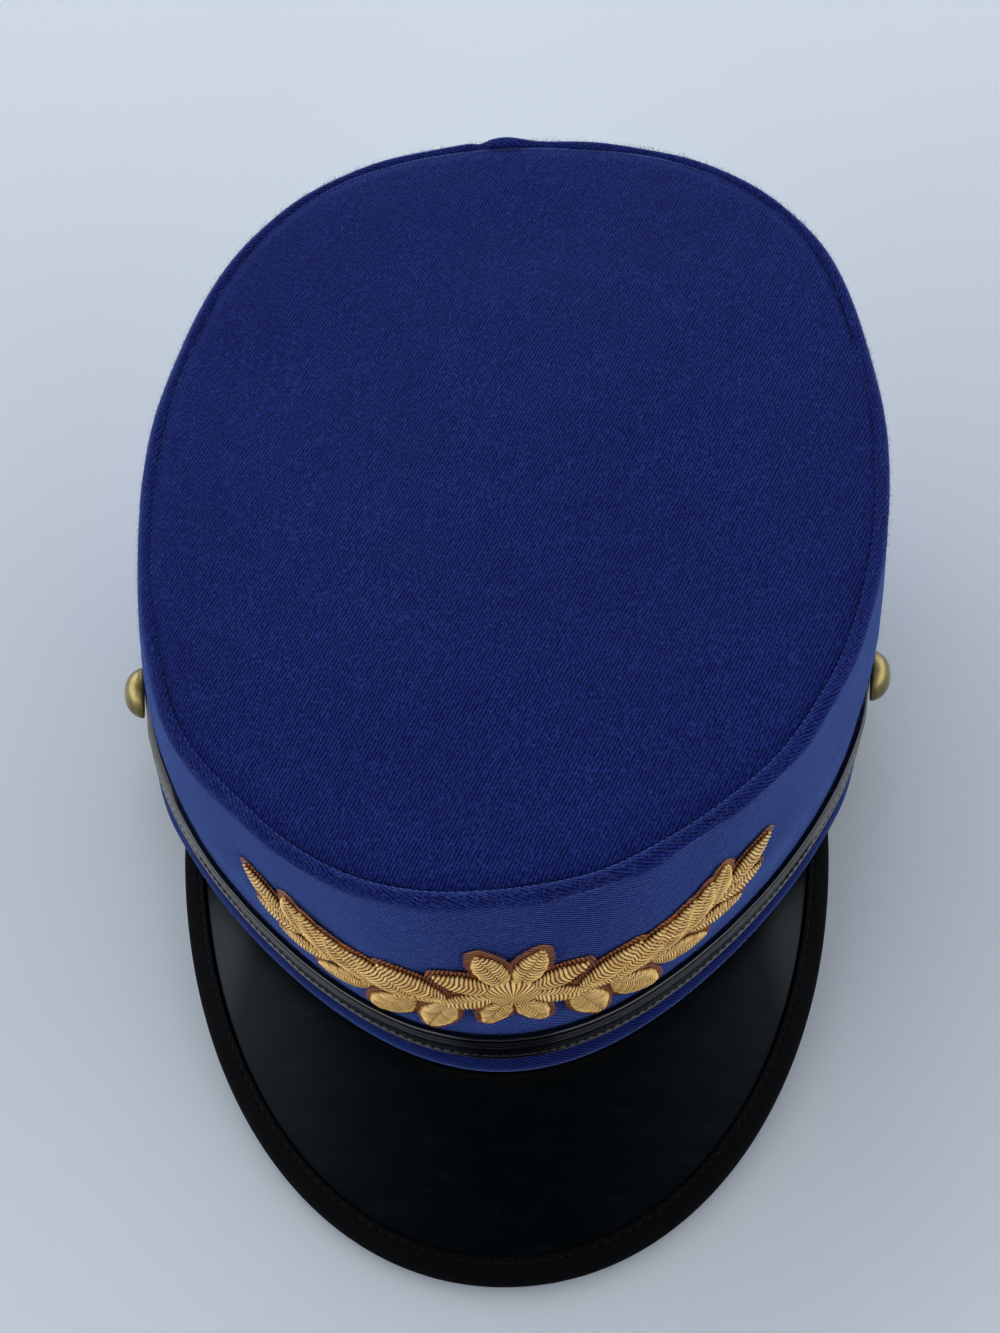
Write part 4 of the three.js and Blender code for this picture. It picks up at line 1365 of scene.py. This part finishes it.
@dataclass
class GoldSpray:
    """The raised ornament on the front: a rosette with a leafy spray on either side, in satin stitch."""

    form: CapForm = FORM
    half_width: float = 62.0
    tall: float = 44.0
    foot: float = 14.8
    aside: float = 3.6
    relief: float = 1.4
    leaf: Pair = (19.0, 8.2)
    rosette: float = 17.0
    boss: float = 5.4
    boss_rings: Corners = (
        (0.0, 1.3), (0.3, 1.28), (0.6, 1.18), (0.8, 1.0), (0.93, 0.72), (1.0, 0.3), (1.0, 0.0), (0.0, 0.0),
    )
    petals: int = 8
    petal_start: float = 3.4
    petal_width: float = 6.2
    stem_width: float = 2.0
    stem_steps: int = 120
    border: float = 1.35
    thread_pitch: float = 0.88
    slant: float = 0.8
    fray: float = 0.5
    route: Corners = ((0.15, 0.42), (0.36, 0.36), (0.61, 0.44), (0.82, 0.66))
    pairs: tuple[LeafPair, ...] = (
        LeafPair(0.10, 0.92, 52.0),
        LeafPair(0.30, 1.00, 46.0),
        LeafPair(0.50, 0.95, 42.0),
        LeafPair(0.69, 0.84, 40.0),
        LeafPair(0.87, 0.70, 38.0),
        LeafPair(0.965, 0.78, 0.0),
    )

    def __post_init__(self) -> None:
        """Measures the wall's travel from the middle of the front, and starts the ragged edges."""
        step = 0.001
        share = FRONT - step * np.arange(201)
        line = self.form.wall(share, self.foot + self.tall / 2)
        self.travel = travelled(line)
        self.travel_share = step * np.arange(201)
        self.rng = np.random.default_rng(47)

    def on_wall(self, across: Array, up: Array, out: Array) -> Array:
        """Lays points of the flat drawing on the wall.

        Args:
            across: Distances from the drawing's middle.
            up: Heights over its foot.
            out: Distances out from the wall, past the small gap.

        Returns:
            Points in metres.
        """
        at = self.aside + across
        share = FRONT - np.sign(at) * np.interp(np.abs(at), self.travel, self.travel_share)
        return STANCE.place(self.form.wall(share, self.foot + up, self.form.fit_gap + out))

    def blade(self, making: Making, foot: Array, degrees: float, size: Pair, edging: bool) -> None:
        """Lays one leaf or petal, two pads of slanting thread with a vein between them.

        Args:
            making: The piece that it joins.
            foot: Its foot in the drawing.
            degrees: Its heading in the drawing.
            size: Its length and width.
            edging: Whether it is the darker border under the leaf.
        """
        length, width = size
        grow = self.border if edging else 0.0
        long = length + 2 * grow
        threads = max(6, round(long / self.thread_pitch))
        step = np.arange(2 * threads + 1)
        way = (step / (2.0 * threads))[:, None]
        crest = (step % 2)[:, None]
        row = np.concatenate([np.linspace(-1.0, 1.0, 17), [0.0]])[None, :]
        top = np.concatenate([np.ones(17), [0.0]])[None, :]
        half = 0.5 * np.maximum(np.sin(math.pi * way ** 0.85), 0.0) ** 0.8
        frayed = np.where(crest > 0, self.rng.uniform(0.0, self.fray, way.shape), -0.5 * self.fray)
        edge = (width * half + grow + frayed) * (half > 0.02)
        aside = edge * row
        along = way * long - grow + self.slant * (np.abs(aside) - 0.6 * edge) * (1 - way) * (half > 0.02)
        pad = np.sqrt(np.maximum(1 - (2 * np.abs(row) - 1) ** 2, 0.0))
        swell = np.sqrt(2.0 * half)
        relief = 0.3 * (1 - 0.3 * np.abs(row)) if edging else self.relief * (0.3 + 0.66 * pad * swell)
        out = top * (relief + np.where(crest > 0, 0.08, -0.08)) * np.minimum(1.0, 3 * swell + 0.25)
        out = out + (0.0 if edging else 0.1)
        heading = np.array([math.cos(math.radians(degrees)), math.sin(math.radians(degrees))])
        across = foot[0] + heading[0] * along - heading[1] * aside
        up = foot[1] + heading[1] * along + heading[0] * aside
        lot = self.rng.integers(1, 90) * self.thread_pitch
        chart = np.stack(np.broadcast_arrays(step[:, None] * self.thread_pitch / 2 + lot, aside), -1)
        making.lay(ringed(self.on_wall(across, up, out)), ringed(chart) * MILLIMETRE)

    def middle_boss(self, making: Making, edging: bool) -> None:
        """Lays the round boss of the rosette, with threads that run out from its middle."""
        radius = self.boss + (self.border if edging else 0.0)
        angle = np.linspace(0.0, FULL_TURN, 49)
        size = np.array([ring[0] for ring in self.boss_rings])[:, None] * radius
        lift = 0.36 if edging else self.relief * 1.15
        out = np.array([ring[1] for ring in self.boss_rings])[:, None] * lift + 0.0 * angle[None, :]
        up = self.tall / 2 + size * np.sin(angle)[None, :]
        points = self.on_wall(size * np.cos(angle)[None, :], up, out)
        points[:, -1] = points[:, 0]
        chart = np.stack(np.broadcast_arrays(angle[None, :] * self.boss * 0.7, size), -1) * MILLIMETRE
        making.lay(points, chart)

    def stem_line(self, side: int, steps: int) -> tuple[Array, Array]:
        """Draws the stem on one side as a smooth curve, and gives the directions along it.

        Args:
            side: 1 for +X and -1 for -X.
            steps: How many points the curve gets.

        Returns:
            The points and the directions, in the drawing.
        """
        corners = np.array(self.route) * (side * self.half_width, self.tall)
        ends = np.concatenate([2 * corners[:1] - corners[1:2], corners, 2 * corners[-1:] - corners[-2:-1]])
        knots = np.concatenate([[0.0], np.cumsum(np.linalg.norm(np.diff(ends, axis=0), axis=-1) ** 0.5)])
        at = np.linspace(0.0, len(corners) - 1.0, steps)
        points = []
        for value in at:
            cell = min(int(value), len(corners) - 2)
            time = lerp(knots[cell + 1], knots[cell + 2], value - cell)
            tier = list(ends[cell:cell + 4])
            for spans in (((0, 1), (1, 2), (2, 3)), ((0, 2), (1, 3)), ((1, 2),)):
                ways = [
                    (time - knots[cell + low]) / (knots[cell + high] - knots[cell + low])
                    for low, high in spans
                ]
                tier = [lerp(tier[index], tier[index + 1], way) for index, way in enumerate(ways)]
            points.append(tier[0])
        line = np.array(points)
        ahead = np.gradient(line, axis=0)
        return line, ahead / np.linalg.norm(ahead, axis=-1, keepdims=True)

    def stem(self, making: Making, line: Array, ahead: Array, edging: bool) -> None:
        """Lays one stem, a round cord of twisted thread."""
        half = self.stem_width / 2 + (self.border if edging else 0.0)
        turn = np.linspace(0.0, math.pi, 9)
        row = np.concatenate([-np.cos(turn), [0.0]])
        lift = np.concatenate([np.sin(turn), [0.0]]) * (0.35 if edging else self.relief * 0.72)
        aside = half * row[None, :]
        across = line[:, :1] - ahead[:, 1:] * aside
        up = line[:, 1:] + ahead[:, :1] * aside
        points = self.on_wall(across, up, lift[None, :] + 0.0 * across)
        travel = travelled(line)
        chart = np.stack([travel[:, None] + 0.9 * aside, 0.0 * travel[:, None] + aside], -1) * MILLIMETRE
        making.lay(ringed(points), ringed(chart))

    def embroider(self, name: str, edging: bool) -> Making:
        """Lays the whole ornament, or the darker border that shows round it."""
        making = Making(name)
        middle = np.array([0.0, self.tall / 2])
        self.middle_boss(making, edging)
        for index in range(self.petals):
            angle = (index + 0.5) / self.petals * FULL_TURN
            foot = middle + np.array([math.cos(angle), math.sin(angle)]) * self.petal_start
            size = (self.rosette - self.petal_start, self.petal_width)
            self.blade(making, foot, math.degrees(angle), size, edging)
        for side in (-1, 1):
            line, ahead = self.stem_line(side, self.stem_steps + 1)
            self.stem(making, line, ahead, edging)
            for pair in self.pairs:
                index = round(pair.along * self.stem_steps)
                heading = math.degrees(math.atan2(ahead[index, 1], ahead[index, 0]))
                for lean in (-pair.lean, pair.lean) if pair.lean else (0.0,):
                    shift = float(np.sign(lean)) * self.stem_width * 0.2
                    foot = line[index] + np.array([-ahead[index, 1], ahead[index, 0]]) * shift
                    size = (self.leaf[0] * pair.size, self.leaf[1] * pair.size)
                    self.blade(making, foot, heading + lean, size, edging)
        making.close()
        return making

    def build(self, gold: Material, brown: Material) -> None:
        """Builds the gold threads and the brown ones that edge them."""
        self.embroider("gold_spray_threads", False).done(gold, "gold_thread", ("front_emblem",))
        self.embroider("gold_spray_edging", True).done(brown, "gold_thread")


@dataclass
class ClothHair:
    """Short hairs that stand off the cloth along the roll and the wall."""

    form: CapForm = FORM
    roll_count: int = 7000
    wall_count: int = 3600
    length: Pair = (0.45, 1.5)
    radius: float = 0.027
    seed: int = 5
    lot_size: int = 200
    turns: Pair = (-55.0, 85.0)
    wall_from: float = 0.18

    def grow(self, lot: bmesh.types.BMesh, root: Array, heading: Array, length: float) -> None:
        """Adds one straight tapering hair."""
        way = Vector(STANCE.turn(heading)).normalized()
        turn = Vector((0, 0, 1)).rotation_difference(way).to_matrix().to_4x4()
        middle = Vector(STANCE.place(root)) + way * (length * 0.45 * MILLIMETRE)
        bmesh.ops.create_cone(
            lot, cap_ends=True, cap_tris=True, segments=3, radius1=self.radius * MILLIMETRE,
            radius2=self.radius * 0.3 * MILLIMETRE, depth=length * MILLIMETRE,
            matrix=Matrix.Translation(middle) @ turn,
        )

    def build(self, finish: Material) -> Piece:
        """Grows all the hairs, more of them along the roll."""
        rng = np.random.default_rng(self.seed)
        count = self.roll_count + self.wall_count
        share = rng.uniform(0.0, 1.0, count)
        level = np.append(self.form.crown_outward(share).T, [np.zeros(count)], 0).T
        turn = np.radians(rng.uniform(*self.turns, count))
        on_roll = np.arange(count) < self.roll_count
        top = self.form.roll_height(share)
        height = np.where(on_roll, top, rng.uniform(self.wall_from, 1.0, count) * top)
        turn = np.where(on_roll, turn, 0.0)
        out = level * np.cos(turn)[:, None] + np.array([0.0, 0.0, 1.0]) * np.sin(turn)[:, None]
        root = np.where(
            on_roll[:, None], self.form.roll(share, np.full(count, self.form.roll_radius), np.degrees(turn)),
            self.form.wall(share, height),
        )
        along = np.stack([-level[:, 1], level[:, 0], np.zeros(count)], -1)
        heading = out * rng.uniform(0.15, 0.8, (count, 1)) + along * rng.normal(0.0, 0.8, (count, 1))
        heading = heading + np.array([0.0, 0.0, 1.0]) * rng.normal(0.1, 0.5, (count, 1))
        making = Making("cloth_hairs")
        lengths = rng.uniform(*self.length, count)
        for start in range(0, count, self.lot_size):
            lot = bmesh.new()
            for index in range(start, min(start + self.lot_size, count)):
                self.grow(lot, root[index], heading[index], lengths[index])
            making.take(lot)
        return making.done(finish, "side_cloth")


@dataclass(frozen=True)
class SoftBox:
    """A large soft lamp that looks at the cap."""

    name: str
    place: Triple
    size: Pair
    watts: float
    colour: Colour

    def build(self) -> None:
        """Hangs the lamp."""
        light = bpy.data.lights.new(self.name, "AREA")
        light.shape = "RECTANGLE"
        light.size, light.size_y = self.size
        light.energy = self.watts
        light.color = self.colour
        lamp = bpy.data.objects.new(self.name, light)
        aim = Vector(CAP_MIDDLE) - Vector(self.place)
        lamp.matrix_world = Matrix.Translation(self.place) @ aim.to_track_quat("-Z", "Y").to_matrix().to_4x4()
        bpy.context.scene.collection.objects.link(lamp)


@dataclass
class Studio:
    """The pale floor, the soft light and the camera."""

    floor_size: float = 6.0
    sky: Colour = (0.90, 0.95, 1.0)
    sky_strength: float = 3.5
    sky_top: float = 0.008
    front_shade: float = 0.35
    middle_shade: float = 0.93
    sky_edge: Pair = (0.26, 0.86)
    sky_lean: Pair = (-0.08, -0.03)
    boxes: tuple[SoftBox, ...] = (
        SoftBox("ceiling", (-0.7, 1.6, 1.5), (2.0, 1.0), 11.0, (0.95, 0.98, 1.0)),
    )
    camera_place: Triple = (0.01838, -0.28159, 0.49844)
    tilt: float = 32.307
    yaw: float = -3.706
    roll: float = -4.574
    focal_pixels: float = 2400.0
    image_height: float = 1333.0
    film: float = 36.0
    near: float = 0.01

    def build(self) -> None:
        """Sets up the whole studio."""
        self.lay_floor()
        self.light()
        self.set_camera()

    def lay_floor(self) -> None:
        """Lays the pale floor under the cap."""
        bm = bmesh.new()
        bmesh.ops.create_grid(bm, x_segments=8, y_segments=8, size=self.floor_size / 2)
        mesh = bpy.data.meshes.new("floor")
        bm.to_mesh(mesh)
        bm.free()
        floor = bpy.data.objects.new("floor", mesh)
        bpy.context.scene.collection.objects.link(floor)
        mesh.materials.append(FloorCloth().make())

    def light(self) -> None:
        """Hangs the lamps and sets the sky."""
        for box in self.boxes:
            box.build()
        world = bpy.data.worlds.new("sky")
        world.use_nodes = True
        bench = Bench(world.node_tree)
        across, along, height = bench.axes(bench.node("ShaderNodeTexCoord").outputs["Generated"])
        ring = 1.0 - height.within(*self.sky_edge) * (1.0 - self.sky_top)
        lean = across * self.sky_lean[0] + along * self.sky_lean[1] + 1.0
        shade = 1.0 - (along * -1.0).within(0.25, 0.85) * self.front_shade
        middle = (1.0 - (across * across).within(0.03, 0.22)) * (along * -1.0).within(0.02, 0.38)
        strength = ring * lean * shade * (1.0 - middle * self.middle_shade) * self.sky_strength
        back = bench.node("ShaderNodeBackground", None, {"Color": (*self.sky, 1.0), "Strength": strength})
        bench.node("ShaderNodeOutputWorld", None, {"Surface": back.outputs[0]})
        bpy.context.scene.world = world
        bpy.context.scene.view_settings.view_transform = "Standard"

    def set_camera(self) -> None:
        """Places the camera as it stood for the photograph."""
        tilt, yaw, roll = (math.radians(value) for value in (self.tilt, self.yaw, self.roll))
        ahead = Vector((math.sin(yaw) * math.sin(tilt), math.cos(yaw) * math.sin(tilt), -math.cos(tilt)))
        right = Vector((math.cos(yaw), -math.sin(yaw), 0.0))
        up = right.cross(ahead)
        level = right * math.cos(roll) + up * math.sin(roll)
        upright = up * math.cos(roll) - right * math.sin(roll)
        turn = Matrix((level, upright, -ahead)).transposed().to_4x4()
        data = bpy.data.cameras.new("camera")
        data.sensor_fit = "AUTO"
        data.sensor_width = self.film
        data.lens = self.focal_pixels * self.film / self.image_height
        data.clip_start = self.near
        camera = bpy.data.objects.new("camera", data)
        camera.matrix_world = Matrix.Translation(self.camera_place) @ turn
        bpy.context.scene.collection.objects.link(camera)
        bpy.context.scene.camera = camera


@dataclass
class Finishes:
    """The materials of the whole cap."""

    # The side twill's foot paints shade into the strip under the strap.
    side: Material = field(default_factory=TwillCloth("side_twill", 26.0, sheen=0.9, foot=0.0052).make)
    top: Material = field(default_factory=TwillCloth("top_twill", 64.0).make)
    vinyl: Material = field(default_factory=PeakVinyl().make)
    tape: Material = field(default_factory=WovenTape().make)
    patent: Material = field(default_factory=PatentLeather().make)
    brass: Material = field(default_factory=AntiqueBrass().make)
    # Each gap colour below is painted shade for the troughs between threads.
    gold: Material = field(default_factory=SilkThread(
        "gold_silk", light=paint(244, 204, 122), dark=paint(186, 132, 54), gap=paint(84, 36, 8),
    ).make)
    brown: Material = field(default_factory=SilkThread(
        "brown_silk", light=paint(152, 78, 22), dark=paint(104, 46, 10), gap=paint(34, 16, 30),
    ).make)
    hair: Material = field(default_factory=HairFuzz().make)
    black_thread: Material = field(default_factory=SilkThread(
        "black_thread", light=paint(13, 13, 16), dark=paint(7, 7, 9), gap=paint(3, 3, 4), gloss=0.15,
    ).make)


def main() -> None:
    """Builds the studio and every piece of the cap."""
    logging.basicConfig(level=logging.INFO, format="%(name)s %(message)s")
    Studio().build()
    finishes = Finishes()
    strap = ChinStrap()
    strap.build(finishes.patent, finishes.black_thread)
    SideWall().build(finishes.side)
    TopPanel().build(finishes.top)
    DomedButton("button_right_brass", "button_right", False, strap).build(finishes.brass)
    DomedButton("button_left_brass", "button_left", True, strap).build(finishes.brass)
    outline = PeakForm()
    PeakSheet(outline).build(finishes.vinyl)
    PeakBinding(outline).build(finishes.tape, finishes.black_thread)
    GoldSpray().build(finishes.gold, finishes.brown)
    ClothHair().build(finishes.hair)


if __name__ == "__main__":
    main()
